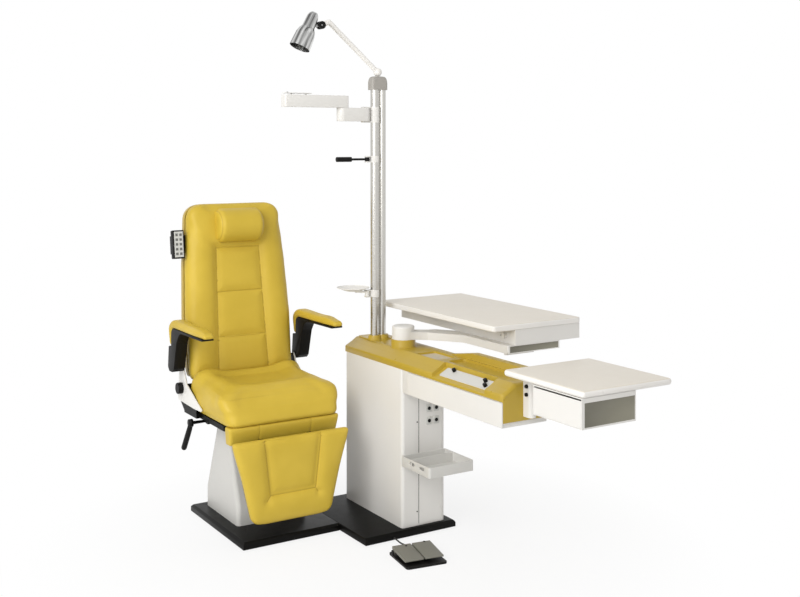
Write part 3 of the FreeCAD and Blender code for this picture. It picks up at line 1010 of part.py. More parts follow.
def table_arm():
    """Two-leg arm that turns on the console's boss and carries the rail box of the large table."""
    hub_zs = (BOSS_TOP, HUB_Z[1])
    hub = upright(BOSS_X, BOSS_Y, hub_zs, HUB_R)
    hub = soften(hub, ARM_EDGE, lambda p: near(p.z, HUB_Z[1]))
    pin = upright(BOSS_X, BOSS_Y, (BOSS_TOP - HUB_PIN_DEPTH, BOSS_TOP), HUB_PIN_R)
    first = strut(V(BOSS_X, BOSS_Y, 0), ARM_ELBOW, FIRST_LEG_HALF)
    second = strut(ARM_ELBOW, ARM_END, SECOND_LEG_HALF)
    elbow = upright(ARM_ELBOW.x, ARM_ELBOW.y, ARM_Z, SECOND_LEG_HALF)
    box = block(RAIL_BOX_X, RAIL_BOX_Y, ARM_Z, RAIL_BOX_R)
    rails = [block(grown((x, x), RAIL_HALF), RAIL_Y, (ARM_Z[1], ARM_Z[1] + RAIL_H)) for x in RAIL_X]
    return joined(hub, pin, first, second, elbow, box, table_lever(), *rails)


def strut(start, end, half):
    """Flat bar between two places in plan, at the table arm's height."""
    run = end - start
    side = V(-run.y, run.x, 0).normalize() * half
    corners = [(p.x, p.y) for p in (start + side, start - side, end - side, end + side)]
    return prism(corners, 0, "z", ARM_Z)


def large_table_top():
    top = block(TABLE_X, TABLE_Y, TABLE_Z, TABLE_R)
    return soften(top, TABLE_EDGE_R, lambda p: near(p.z, TABLE_Z[0]) or near(p.z, TABLE_Z[1]))


def large_table_apron():
    """Frame under the table top; two grooved webs ride on the rails of the arm."""
    frame = block(APRON_X, APRON_Y, APRON_Z)
    frame = frame.cut(block(grown(APRON_X, -APRON_WALL), grown(APRON_Y, -APRON_WALL), APRON_Z))
    rail_top = ARM_Z[1] + RAIL_H
    webs = [block(grown((x, x), APRON_WEB_HALF), grown(APRON_Y, -APRON_WALL),
                  (ARM_Z[1] + SKIN_CLEAR, APRON_Z[1]))
            for x in RAIL_X]
    groove_y = grown(APRON_Y, -APRON_WALL - GROOVE_END)
    grooves = [block(grown((x, x), RAIL_HALF + SKIN_CLEAR), groove_y, (ARM_Z[1], rail_top)) for x in RAIL_X]
    knob = rod(V(APRON_X[0] - TABLE_KNOB_L, TABLE_KNOB_Y, TABLE_KNOB_Z),
               V(APRON_X[0], TABLE_KNOB_Y, TABLE_KNOB_Z),
               TABLE_KNOB_R)
    return joined(frame, knob, *webs).cut(grooves)


def table_lever():
    """Lock lever under the rail box."""
    return block(TABLE_LEVER_X, grown((TABLE_LEVER_Y, TABLE_LEVER_Y), TABLE_LEVER_HALF), TABLE_LEVER_Z,
                 TABLE_LEVER_HALF / 2)


def small_table_bracket():
    """Post on the console's end face with the eye that the small table's arm turns on."""
    post = block(POST_X, POST_Y, (POST_Z[0], BRACKET_ARM_Z[0]))
    eye = upright(POST_PIVOT_X, POST_PIVOT_Y, (POST_Z[0], BRACKET_ARM_Z[0]), POST_EYE_R)
    knobs = [rod(V(POST_KNOB_X[0], middle(POST_Y), z), V(POST_KNOB_X[1], middle(POST_Y), z), POST_KNOB_R)
             for z in POST_KNOBS_Z]
    bore = upright(POST_PIVOT_X, POST_PIVOT_Y, (BRACKET_ARM_Z[0] - HUB_PIN_DEPTH, BRACKET_ARM_Z[0]),
                   POST_PIN_R + SHAFT_CLEAR)
    return joined(post, eye, *knobs).cut(bore)


def small_table_arm():
    """Swinging arm of the small table with its pivot pin and the carrier plate under the top."""
    pin = upright(POST_PIVOT_X, POST_PIVOT_Y, (BRACKET_ARM_Z[0] - HUB_PIN_DEPTH, BRACKET_ARM_Z[0]),
                  POST_PIN_R)
    knuckle = upright(POST_PIVOT_X, POST_PIVOT_Y, BRACKET_ARM_Z, BRACKET_ARM_HALF)
    bar = block(grown((POST_PIVOT_X, POST_PIVOT_X), BRACKET_ARM_HALF), (BRACKET_ARM_END_Y, POST_PIVOT_Y),
                BRACKET_ARM_Z)
    plate = block(CARRIER_X, CARRIER_Y, CARRIER_Z)
    return joined(pin, knuckle, bar, plate)


def small_table_top():
    top = block(SMALL_TOP_X, SMALL_TOP_Y, SMALL_TOP_Z, SMALL_TOP_R)
    return soften(top, SMALL_TOP_EDGE_R, lambda p: near(p.z, SMALL_TOP_Z[0]) or near(p.z, SMALL_TOP_Z[1]))


def small_table_box():
    """Drawer housing under the small table, open on the left."""
    outer = block(BOX_X, BOX_Y, BOX_Z)
    inner = block((BOX_X[0], BOX_X[1] - BOX_WALL), grown(BOX_Y, -BOX_WALL), grown(BOX_Z, -BOX_WALL))
    return outer.cut(inner)


def small_table_drawer():
    floor = BOX_Z[0] + BOX_WALL
    return drawer(TABLE_DRAWER_FRONT_X, TABLE_DRAWER_FRONT_Y, TABLE_DRAWER_FRONT_Z, TABLE_DRAWER_X,
                  TABLE_DRAWER_Y,
                  floor, TABLE_DRAWER_TOP, DRAWER_WALL)


def placed_pedal(shape):
    """Move a pedal piece from its straight frame to its place on the floor."""
    shape = shape.copy()
    shape.rotate(NOWHERE, ALONG_Z, PEDAL_TURN)
    shape.translate(PEDAL_PIVOT)
    return shape


def pedal_hinge_gaps():
    """Spans along X between and beside the pedals where the base's lugs stand."""
    (a, b), (c, d) = PEDAL_X
    return ((PEDAL_BASE_X[0], a - SKIN_CLEAR), (b + SKIN_CLEAR, c - SKIN_CLEAR),
            (d + SKIN_CLEAR, PEDAL_BASE_X[1]))


def foot_pedal_base():
    """Flat base with three lugs for the pedals' pin and a switch stop under each pedal."""
    plate = block(PEDAL_BASE_X, PEDAL_BASE_Y, (0, PEDAL_BASE_T), PEDAL_BASE_R)
    pieces = [plate]
    for span in pedal_hinge_gaps():
        pieces.append(rod(V(span[0], PEDAL_PIN_Y, PEDAL_PIN_Z), V(span[1], PEDAL_PIN_Y, PEDAL_PIN_Z),
                          PEDAL_LUG_R))
        pieces.append(block(span, grown((PEDAL_PIN_Y, PEDAL_PIN_Y), PEDAL_LUG_R),
                            (PEDAL_BASE_T, PEDAL_PIN_Z)))
    pieces.append(rod(V(PEDAL_BASE_X[0], PEDAL_PIN_Y, PEDAL_PIN_Z),
                      V(PEDAL_BASE_X[1], PEDAL_PIN_Y, PEDAL_PIN_Z),
                      PEDAL_PIN_R))
    for span in PEDAL_X:
        pieces.append(upright(middle(span), PEDAL_SWITCH_Y, (PEDAL_BASE_T, PEDAL_BASE_T + PEDAL_SWITCH_R),
                              PEDAL_SWITCH_R))
    pieces.append(block(GLAND_X, GLAND_Y, GLAND_Z))
    return placed_pedal(joined(*pieces))


def foot_pedal(span):
    """Treadle that tapers towards the toe, hung on the base's pin."""
    tread = prism(PEDAL_OUTLINE, PEDAL_OUTLINE_RADII, "x", span)
    hub = rod(V(span[0], PEDAL_PIN_Y, PEDAL_PIN_Z), V(span[1], PEDAL_PIN_Y, PEDAL_PIN_Z), PEDAL_LUG_R)
    rib = block(span, grown((PEDAL_PIN_Y, PEDAL_PIN_Y), PEDAL_PIN_R), (PEDAL_PIN_Z, PEDAL_OUTLINE[3][1]))
    bore = rod(V(span[0], PEDAL_PIN_Y, PEDAL_PIN_Z), V(span[1], PEDAL_PIN_Y, PEDAL_PIN_Z),
               PEDAL_PIN_R + SHAFT_CLEAR)
    return placed_pedal(joined(tread, hub, rib).cut(bore))


def cord_points():
    """Route from the stand's plate to the pedal base's gland, which the last run meets squarely."""
    turn = FreeCAD.Rotation(ALONG_Z, PEDAL_TURN)
    end = V(middle(GLAND_X), GLAND_Y[1], CORD_Z)
    lead = end + ALONG_Y * CORD_LEAD
    return [V(*place) for place in CORD_ROUTE] + [PEDAL_PIVOT + turn.multVec(point) for point in (lead, end)]


def cord_path():
    """Straight runs joined by tangent arcs; each radius is as large as the shorter run next to it allows."""
    points = cord_points()
    edges = []
    start = points[0]
    for before, here, after in zip(points, points[1:], points[2:]):
        back = (before - here).normalize()
        ahead = (after - here).normalize()
        half_turn = (math.pi - back.getAngle(ahead)) / 2
        shorter = min(before.distanceToPoint(here), here.distanceToPoint(after))
        run = BEND_SHARE * shorter
        radius = run / math.tan(half_turn)
        inward = (back + ahead).normalize()
        centre = here + inward * (radius / math.cos(half_turn))
        leave, join = here + back * run, here + ahead * run
        edges.append(Part.LineSegment(start, leave).toShape())
        edges.append(Part.Arc(leave, centre - inward * radius, join).toShape())
        print("cord bend radius", round(radius, 1))
        start = join
    edges.append(Part.LineSegment(start, points[-1]).toShape())
    return Part.Wire(edges)


def pedal_cord():
    path = cord_path()
    start, second = cord_points()[:2]
    ring = Part.Wire([Part.makeCircle(CORD_R, start, second - start)])
    cord = path.makePipeShell([ring], True, True)
    print("cord volume", round(cord.Volume), "expected", round(math.pi * CORD_R ** 2 * path.Length))
    return cord


NODES = {
    "chair_base_plate": chair_base_plate, "stand_base_plate": stand_base_plate, "levelling_pads": levelling_pads,
    "pedestal_cover": pedestal_cover, "lift_outer_column": lift_outer_column,
    "lift_inner_column": lift_inner_column, "lift_drive": lift_drive,
    "swivel_plate": swivel_plate, "seat_frame": seat_frame, "seat_cushion": seat_cushion,
    "seat_valance": seat_valance, "side_cover_right": side_cover, "side_cover_left": lambda: mirrored(side_cover()),
    "recline_pivot": recline_pivot, "swivel_lock_lever": swivel_lock_lever, "back_frame": back_frame,
    "back_cushion": back_cushion, "back_shell": back_shell, "headrest_pillow": headrest_pillow,
    "handset": handset, "handset_keys": handset_keys, "armrest_arm_right": armrest_arm,
    "armrest_arm_left": lambda: mirrored(armrest_arm()), "armrest_pad_right": armrest_pad,
    "armrest_pad_left": lambda: mirrored(armrest_pad()), "legrest_frame": legrest_frame,
    "legrest_cushion": legrest_cushion, "cabinet_shell": cabinet_shell, "service_panel": service_panel,
    "socket_outlets": socket_outlets, "instrument_tray": instrument_tray, "console_beam": console_beam,
    "lens_drawer": lens_drawer, "console_lid": console_lid, "control_panel": control_panel,
    "control_knob_rear": lambda: control_knob(*CONTROL_KNOBS[0]),
    "control_knob_middle": lambda: control_knob(*CONTROL_KNOBS[1]),
    "control_knob_front": lambda: control_knob(*CONTROL_KNOBS[2]), "pole_tubes": pole_tubes,
    "pole_clamps": pole_clamps, "pole_cap": pole_cap, "lamp_arm": lamp_arm, "lamp_head": lamp_head,
    "lamp_bulb": lamp_bulb,
    "phoropter_inner_arm": phoropter_inner_arm, "phoropter_outer_arm": phoropter_outer_arm,
    "pole_handle": pole_handle, "accessory_dish": accessory_dish, "table_arm": table_arm,
    "large_table_top": large_table_top, "large_table_apron": large_table_apron,
    "small_table_bracket": small_table_bracket, "small_table_arm": small_table_arm,
    "small_table_top": small_table_top, "small_table_box": small_table_box,
    "small_table_drawer": small_table_drawer, "foot_pedal_base": foot_pedal_base,
    "foot_pedal_left": lambda: foot_pedal(PEDAL_X[0]), "foot_pedal_right": lambda: foot_pedal(PEDAL_X[1]),
    "pedal_cord": pedal_cord,
}

for name, make in NODES.items():
    save(make(), name)
print(len(NODES), "nodes")
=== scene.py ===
import bpy
import math
import time
import numpy as np
from mathutils import Matrix, Vector


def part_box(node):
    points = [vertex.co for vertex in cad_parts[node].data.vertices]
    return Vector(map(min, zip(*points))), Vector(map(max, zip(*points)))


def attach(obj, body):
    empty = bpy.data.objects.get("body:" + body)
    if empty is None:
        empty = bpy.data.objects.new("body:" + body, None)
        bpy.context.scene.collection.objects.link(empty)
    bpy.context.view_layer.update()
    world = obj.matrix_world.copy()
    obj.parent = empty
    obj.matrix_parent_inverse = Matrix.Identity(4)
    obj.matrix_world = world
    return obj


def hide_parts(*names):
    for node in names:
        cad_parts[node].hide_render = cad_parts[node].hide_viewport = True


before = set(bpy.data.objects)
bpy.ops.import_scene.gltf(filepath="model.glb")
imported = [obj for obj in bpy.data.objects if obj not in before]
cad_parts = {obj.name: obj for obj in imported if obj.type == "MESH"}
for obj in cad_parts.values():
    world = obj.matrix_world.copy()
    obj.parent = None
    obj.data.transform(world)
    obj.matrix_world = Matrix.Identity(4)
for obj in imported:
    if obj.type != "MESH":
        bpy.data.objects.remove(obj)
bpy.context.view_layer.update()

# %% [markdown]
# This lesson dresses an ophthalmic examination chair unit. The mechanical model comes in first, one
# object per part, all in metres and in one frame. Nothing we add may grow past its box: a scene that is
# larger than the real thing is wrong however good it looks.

scene = bpy.context.scene

# %% [markdown]
# A product photograph has three plain things round the product: a pale floor that fades into a pale
# wall, soft light from above, and a camera. We light gently and evenly, because strong lamps would
# bleach the white sheet metal. The background is only told to look white, so no extra light is spilled
# on the chair to whiten it.

# %% Camera at the photograph's viewing angle
IMAGE_WIDTH, IMAGE_HEIGHT = 800, 597
FOCAL_PIXELS = 1105.0
HORIZON_ROW = 142.5
CAMERA_YAW = math.radians(32.0)

camera_data = bpy.data.cameras.new("camera")
camera_data.sensor_fit = "HORIZONTAL"
camera_data.sensor_width = 36.0
camera_data.lens = FOCAL_PIXELS / IMAGE_WIDTH * camera_data.sensor_width
camera_data.shift_y = (HORIZON_ROW - IMAGE_HEIGHT / 2) / IMAGE_WIDTH
camera = bpy.data.objects.new("camera", camera_data)
camera.location = (-2.0221, -4.4221, 1.6294)
camera.rotation_euler = (math.radians(90), 0, -CAMERA_YAW)
scene.collection.objects.link(camera)
scene.camera = camera
print("lens", round(camera_data.lens, 2), "shift", round(camera_data.shift_y, 4))

# %% Three soft lamps
CHAIR_MIDDLE = (0.1, -0.4, 0.6)


def area_lamp(name, place, aim, size, power):
    """A soft square lamp at a place, turned towards the point it lights."""
    data = bpy.data.lights.new(name, "AREA")
    data.shape = "SQUARE"
    data.size = size
    data.energy = power
    lamp = bpy.data.objects.new(name, data)
    lamp.location = place
    lamp.rotation_euler = (Vector(aim) - Vector(place)).to_track_quat("-Z", "Y").to_euler()
    scene.collection.objects.link(lamp)


def deselect_all():
    bpy.ops.object.select_all(action="DESELECT")


area_lamp("key_lamp", (-3.6, -2.7, 2.9), CHAIR_MIDDLE, 3.0, 160)
area_lamp("side_lamp", (-2.9, -1.0, 3.6), (0.4, -0.4, 0.4), 1.6, 15)
area_lamp("front_lamp", (-0.8, -5.2, 2.0), CHAIR_MIDDLE, 2.4, 9)
print("lamps:", [lamp.name for lamp in bpy.data.lights])

# %% [markdown]
# Shader maths reads best as plain arithmetic. The small class below wraps one output socket, so that
# an expression such as 1 - mask adds its Math node by itself. Everything else comes from one method
# that takes a node's type, its settings and its inputs. Colours never pass through Math nodes, because
# those turn them grey; they are blended with a Mix node instead.

# %% A socket that can be used in expressions
class Socket:
    def __init__(self, tree, socket):
        self.tree = tree
        self.socket = socket

    def math(self, operation, other, flip=False):
        first, second = (other, self) if flip else (self, other)
        return Nodes(self.tree).node("ShaderNodeMath", {"operation": operation}, {0: first, 1: second})

    def __add__(self, other): return self.math("ADD", other)
    def __sub__(self, other): return self.math("SUBTRACT", other)
    def __rsub__(self, other): return self.math("SUBTRACT", other, True)
    def __mul__(self, other): return self.math("MULTIPLY", other)


class Nodes:
    """A node tree, and the one method that adds a node to it."""

    def __init__(self, tree):
        self.tree = tree

    def feed(self, slot, value):
        if isinstance(value, Socket):
            self.tree.links.new(value.socket, slot)
        else:
            slot.default_value = value

    def node(self, kind, settings, inputs, output=0):
        node = self.tree.nodes.new(kind)
        for key, value in settings.items():
            setattr(node, key, value)
        for key, value in inputs.items():
            self.feed(node.inputs[key], value)
        return Socket(self.tree, node.outputs[output])

    def sees_white(self):
        """1 for rays from the camera and for those in mirrored and clear surfaces, 0 for all others."""
        rays = [self.node("ShaderNodeLightPath", {}, {}, "Is %s Ray" % ray) for ray in
                ("Camera", "Glossy", "Transmission")]
        return rays[0].math("MAXIMUM", rays[1]).math("MAXIMUM", rays[2])


class Finish(Nodes):
    """One material and the few kinds of node that the finishes below are made of."""

    def __init__(self, name, roughness=0.5, metallic=0.0, coat=0.0, specular=0.5):
        self.material = bpy.data.materials.new(name)
        self.material.use_nodes = True
        super().__init__(self.material.node_tree)
        self.surface = self.tree.nodes["Principled BSDF"]
        self.set("Roughness", roughness).set("Metallic", metallic)
        self.set("Coat Weight", coat).set("Specular IOR Level", specular)
        self.place = self.node("ShaderNodeTexCoord", {}, {}, "Object")

    def noise(self, scale, detail=2.0, rough=0.5, place=None):
        inputs = {"Vector": place or self.place, "Scale": scale, "Detail": detail, "Roughness": rough}
        return self.node("ShaderNodeTexNoise", {}, inputs, "Fac")

    def cells(self, scale, feature="F1"):
        inputs = {"Vector": self.place, "Scale": scale}
        return self.node("ShaderNodeTexVoronoi", {"feature": feature}, inputs, "Distance")

    def blend(self, share, first, second):
        """Mix two colours. Slots 0, 6 and 7 of the node are its share and its two colours."""
        first, second = (value if isinstance(value, Socket) else (*value, 1.0) for value in (first, second))
        return self.node("ShaderNodeMix", {"data_type": "RGBA"}, {0: share, 6: first, 7: second}, 2)

    def between(self, value, low, high, start=0.0, end=1.0):
        inputs = {"Value": value, "From Min": low, "From Max": high, "To Min": start, "To Max": end}
        return self.node("ShaderNodeMapRange", {}, inputs, "Result")

    def bump(self, height, strength, distance):
        inputs = {"Height": height, "Strength": strength, "Distance": distance}
        return self.node("ShaderNodeBump", {}, inputs, "Normal")

    def set(self, slot, value):
        self.feed(self.surface.inputs[slot], value)
        return self

# %% [markdown]
# The world is a soft grey dome. The camera sees it as white, by way of Light Path, and so do mirrored
# and clear surfaces, since polished metal would otherwise mirror a grey room that the picture doesn't
# show. Everything else is lit by the grey dome alone. The floor's material does the same.

# %% World and colour management
world = bpy.data.worlds.new("studio")
world.use_nodes = True
scene.world = world
studio = Nodes(world.node_tree)
sky = studio.node("ShaderNodeBackground", {}, {"Color": (1.0, 0.99, 0.975, 1.0), "Strength": 0.60})
white = studio.node("ShaderNodeBackground", {}, {"Color": (1.0, 1.0, 1.0, 1.0), "Strength": 1.0})
seen = studio.node("ShaderNodeMixShader", {}, {0: studio.sees_white(), 1: sky, 2: white})
world.node_tree.links.new(seen.socket, world.node_tree.nodes["World Output"].inputs["Surface"])
world.node_tree.nodes.remove(world.node_tree.nodes["Background"])
scene.view_settings.view_transform = "Standard"
print("world ready:", scene.view_settings.view_transform)

# %% [markdown]
# One finish per real material. Each gets the small unevenness that the eye expects of it: orange peel
# in the paint, grain and tiny pores in the upholstery, drawn lines in the brushed tubes. Wear and
# unevenness only touch colour, roughness and bump, so the finish still works on any part.

# %% Painted and moulded finishes
def painted(name, colour, roughness=0.42, grain=900.0, peel=0.05, coat=0.0, specular=0.5):
    """Smooth paint: a fine orange peel, and a very slight drift of tone from place to place."""
    finish = Finish(name, roughness, 0.0, coat, specular)
    drift = finish.between(finish.noise(3.0, 3.0), 0.3, 0.7)
    darker = tuple(0.955 * c for c in colour)
    finish.set("Base Color", finish.blend(drift, darker, colour))
    finish.set("Roughness", (finish.noise(26.0, 4.0) - 0.5) * 0.12 + roughness)
    finish.set("Normal", finish.bump(finish.noise(grain, 2.0), peel, 0.0006))
    return finish.material


def give(piece, finish):
    """Make this the one finish of a piece."""
    piece.data.materials.clear()
    piece.data.materials.append(finish)


white_paint = painted("white_paint", (0.735, 0.72, 0.69), 0.40)
# A darker copy of the white paint: painted shade from the leg rest on the pedestal cover.
pedestal_shaded_paint = painted("pedestal_shaded_paint", (0.62, 0.61, 0.58), 0.42)
white_plastic = painted("white_plastic", (0.80, 0.785, 0.75), 0.36, 1400.0)
# A darker white for the tray: painted shade, as the tray lies under the console beam.
tray_white = painted("tray_white", (0.60, 0.59, 0.56), 0.45)
laminate = painted("table_laminate", (0.745, 0.69, 0.595), 0.34, 700.0, 0.03)
grey_plastic = painted("grey_plastic", (0.36, 0.34, 0.31), 0.5, 1600.0, 0.15)
pedal_grey = painted("pedal_grey", (0.19, 0.185, 0.155), 0.55, 1800.0, 0.2)
panel_grey = painted("panel_grey", (0.62, 0.615, 0.585), 0.38, 1200.0)
base_black = painted("base_black", (0.0040, 0.0038, 0.0032), 0.36, 1500.0, 0.12, 0.0, 0.09)
black_plastic = painted("black_plastic", (0.0052, 0.0048, 0.0044), 0.45, 2600.0, 0.22, 0.0, 0.16)
print("painted finishes made")

# %% [markdown]
# The upholstery is a soft coated fabric: a fine leather grain from Voronoi cell edges, softened by
# noise, and a little more shine on the crowns than in the pores. The grain's place comes from object
# coordinates, which stay with the cushion when it tilts.

# %% Upholstery and the moulded yellow
MUSTARD = (0.615, 0.440, 0.051)
MUSTARD_DEEP = (0.550, 0.388, 0.039)
# The darkest colour of a seam's crease is painted shade.
MUSTARD_CREASE_SHADE = (0.260, 0.160, 0.014)


def upholstery_finish(name):
    finish = Finish(name, 0.43, 0.0, 0.0, 0.30)
    warp = finish.noise(160.0, 3.0)
    pores = finish.cells(520.0, "DISTANCE_TO_EDGE")
    grain = finish.between(pores, 0.0, 0.16) * 0.65 + warp * 0.35
    cloudy = finish.between(finish.noise(5.5, 4.0), 0.32, 0.68)
    # This attribute is written along each stitch line and darkens the colour there: painted shade in the seam's
    # crease.
    crease_shade = finish.node("ShaderNodeAttribute", {"attribute_name": "seam_shade"}, {}, "Fac")
    plain = finish.blend(cloudy, MUSTARD_DEEP, MUSTARD)
    finish.set("Base Color", finish.blend(crease_shade * 0.45, plain, MUSTARD_CREASE_SHADE))
    finish.set("Roughness", 0.50 - grain * 0.10)
    finish.set("Normal", finish.bump(grain, 0.16, 0.0009))
    return finish.material


upholstery = upholstery_finish("upholstery")
yellow_mould = painted("yellow_mould", (0.470, 0.327, 0.037), 0.30, 1500.0, 0.08, 0.0, 0.4)
# The recess floor's paler colour is a painted highlight.
recess_painted_highlight = painted("recess_painted_highlight", (0.56, 0.49, 0.36), 0.45, 1500.0, 0.05)

# %% [markdown]
# Metal shows its finish in the direction it was worked. The pole tubes were polished by belts that run
# round them, so the noise is squeezed hard along the tube and leaves fine rings. The lamp's shade is
# chromed and stays smooth. Broad dark and light bands run down it: painted reflections of a room.

# %% Metals, glass and rubber
def worked_metal(name, colour, roughness, stretch, strength, dark=0.86, turn=(0.0, 0.0, 0.0)):
    finish = Finish(name, roughness, 1.0)
    turned_place = finish.node("ShaderNodeMapping", {}, {"Vector": finish.place, "Rotation": turn}, "Vector")
    along = finish.node("ShaderNodeMapping", {}, {"Vector": turned_place, "Scale": stretch}, "Vector")
    # For the steel tubes these are real drawn lines. For the chrome shade they are painted reflections: broad dark
    # and light bands.
    drawn_lines_and_painted_bands = finish.between(finish.noise(1.0, 3.0, 0.6, along), 0.33, 0.67)
    finish.set("Base Color", finish.blend(drawn_lines_and_painted_bands, tuple(dark * c for c in colour), colour))
    finish.set("Roughness", (drawn_lines_and_painted_bands - 0.5) * 0.14 + roughness)
    finish.set("Normal", finish.bump(drawn_lines_and_painted_bands, strength, 0.0003))
    return finish.material


steel = worked_metal("brushed_steel", (0.60, 0.585, 0.55), 0.26, (40.0, 40.0, 2200.0), 0.12)
LAMP_LEAN = (0.0, math.radians(-28.0), 0.0)
# The chrome's base colour carries painted reflections: dark and light bands running along the lamp's axis.
chrome = worked_metal("chrome", (0.76, 0.76, 0.75), 0.20, (62.0, 62.0, 1.5), 0.02, 0.13, LAMP_LEAN)
rubber = painted("rubber", (0.018, 0.018, 0.017), 0.75, 2000.0, 0.3)
keys_rubber = painted("keys_rubber", (0.58, 0.58, 0.55), 0.6, 2000.0, 0.15)
key_grey = painted("key_grey", (0.135, 0.135, 0.125), 0.5, 2000.0, 0.15)
# A dark panel that stands for the shade on the boxes' near ends: painted shade.
box_end_painted_shade = painted("box_end_shade", (0.205, 0.195, 0.150), 0.5, 900.0, 0.08)
bulb_glass = Finish("bulb_glass", 0.35, 0.0).set("Base Color", (0.88, 0.84, 0.72, 1.0)).material
print(len(bpy.data.materials), "materials")

# %% [markdown]
# The floor is one plane. Near the chair it is a real pale surface that takes soft shadows. Farther out
# it fades, for the camera and in mirrored surfaces, into the same white as the background, so no horizon
# line shows.

# %% The floor
FADE_MIDDLE, FADE_NEAR, FADE_FAR = (0.25, -0.55, 0.0), 0.55, 1.4


def studio_floor():
    bpy.ops.mesh.primitive_plane_add(size=14.0, location=(0.2, -0.4, 0.0))
    floor = bpy.context.active_object
    floor.name = "floor"
    bpy.ops.object.transform_apply(location=True, rotation=True, scale=True)
    finish = Finish("floor", 0.85, 0.0, 0.0, 0.15)
    finish.set("Base Color", (0.86, 0.86, 0.855, 1.0))
    offset = finish.node("ShaderNodeVectorMath", {"operation": "SUBTRACT"}, {0: finish.place, 1: FADE_MIDDLE})
    far = finish.node("ShaderNodeVectorMath", {"operation": "LENGTH"}, {0: offset}, "Value")
    fade = finish.between(far, FADE_NEAR, FADE_FAR, 0.80, 1.0)
    plain = Socket(finish.tree, finish.surface.outputs[0])
    shine = finish.node("ShaderNodeEmission", {}, {"Color": (1.0, 1.0, 1.0, 1.0), "Strength": 1.0})
    mix = finish.node("ShaderNodeMixShader", {}, {0: fade * finish.sees_white(), 1: plain, 2: shine})
    finish.tree.links.new(mix.socket, finish.tree.nodes["Material Output"].inputs["Surface"])
    give(floor, finish.material)


studio_floor()
print("floor made")

# %% [markdown]
# The foot switch hangs on one short cord. It is drawn as a smooth curve through the same points as the
# mechanical model, from the gland under the stand's plate to the gland on the switch.

# %% The foot switch's cord
CORD_ROUTE = ((0.352, -0.577, 0.012), (0.352, -0.592, 0.012), (0.356, -0.620, 0.003), (0.366, -0.662, 0.003),
              (0.36864, -0.690541, 0.012), (0.366594, -0.704229, 0.012))
CORD_DIAMETER = 0.006

cord_curve = bpy.data.curves.new("switch_cord", "CURVE")
for key, value in {"dimensions": "3D", "bevel_depth": CORD_DIAMETER / 2, "bevel_resolution": 5, "resolution_u": 16,
                   "use_fill_caps": True}.items():
    setattr(cord_curve, key, value)
spline = cord_curve.splines.new("NURBS")
spline.points.add(len(CORD_ROUTE) - 1)
for point, place in zip(spline.points, CORD_ROUTE):
    point.co = (*place, 1.0)
spline.order_u = 3
spline.use_endpoint_u = True
switch_cord = bpy.data.objects.new("switch_cord", cord_curve)
scene.collection.objects.link(switch_cord)
give(switch_cord, rubber)
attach(switch_cord, "base")
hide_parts("pedal_cord")
cord_length = sum((Vector(b) - Vector(a)).length for a, b in zip(CORD_ROUTE, CORD_ROUTE[1:]))
print("cord runs", round(cord_length, 3), "m along its control points")

# %% [markdown]
# Most of the sheet metal already has its true shape in the mechanical model, so it only needs its
# finish. One table says which finish each part gets, and one short loop hands them out.

# %% A finish for every mechanical part
FINISHES = {
    base_black: ("chair_base_plate", "stand_base_plate", "seat_frame", "back_frame", "legrest_frame", "swivel_plate",
                 "foot_pedal_base"),
    rubber: ("levelling_pads",),
    white_paint: ("pedestal_cover", "cabinet_shell", "service_panel", "console_beam", "lens_drawer", "lamp_arm",
                  "phoropter_inner_arm", "phoropter_outer_arm", "table_arm", "small_table_bracket", "small_table_arm",
                  "small_table_box", "small_table_drawer", "large_table_apron", "pole_clamps"),
    white_plastic: ("side_cover_left", "side_cover_right", "accessory_dish"),
    tray_white: ("instrument_tray",),
    steel: ("lift_outer_column", "lift_inner_column", "lift_drive", "pole_tubes"),
    chrome: ("lamp_head",),
    upholstery: ("seat_cushion", "back_cushion", "headrest_pillow", "legrest_cushion", "seat_valance",
                 "armrest_pad_left", "armrest_pad_right"),
    yellow_mould: ("console_lid", "back_shell"),
    black_plastic: ("recline_pivot", "swivel_lock_lever", "armrest_arm_left", "armrest_arm_right", "handset",
                    "pole_handle", "socket_outlets", "control_knob_rear", "control_knob_middle",
                    "control_knob_front"),
    grey_plastic: ("pole_cap",),
    pedal_grey: ("foot_pedal_left", "foot_pedal_right"),
    laminate: ("large_table_top", "small_table_top"),
    panel_grey: ("control_panel",),
    bulb_glass: ("lamp_bulb",),
    key_grey: ("handset_keys",),
}
for finish, names in FINISHES.items():
    for name in names:
        give(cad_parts[name], finish)
print(sum(len(names) for names in FINISHES.values()), "parts have a finish")

# %% [markdown]
# Upholstery is the heart of this object. The mechanical model's cushions are hard solids; real ones are
# foam under a tight skin. We rebuild each skin from the solid's own surface: copy it, remesh it into
# small even squares, hold it where it is stitched or screwed down, and blow it up gently with cloth
# pressure. The result is then kept within a small cap, so that no cushion outgrows its solid.

# %% Small mesh helpers
def own_copy(node, name):
    """A new object with its own merged copy of a mechanical part's mesh."""
    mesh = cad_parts[node].data.copy()
    mesh.materials.clear()
    piece = bpy.data.objects.new(name, mesh)
    scene.collection.objects.link(piece)
    edit_faces(piece, lambda face: True)
    bpy.ops.mesh.remove_doubles(threshold=0.00002)
    bpy.ops.mesh.normals_make_consistent(inside=False)
    close_edit()
    return piece


def make_active(piece):
    deselect_all()
    piece.select_set(True)
    bpy.context.view_layer.objects.active = piece


def edit_picked(piece, kind, picked):
    """Open a piece in edit mode with only the picked edges or faces selected, and say how many there are."""
    make_active(piece)
    scene.tool_settings.mesh_select_mode = (False, kind == "edges", kind == "polygons")
    for part in (piece.data.vertices, piece.data.edges, piece.data.polygons):
        part.foreach_set("select", [False] * len(part))
    getattr(piece.data, kind).foreach_set("select", picked)
    bpy.ops.object.mode_set(mode="EDIT")
    return sum(picked)


def edit_faces(piece, wanted):
    return edit_picked(piece, "polygons", [bool(wanted(face)) for face in piece.data.polygons])


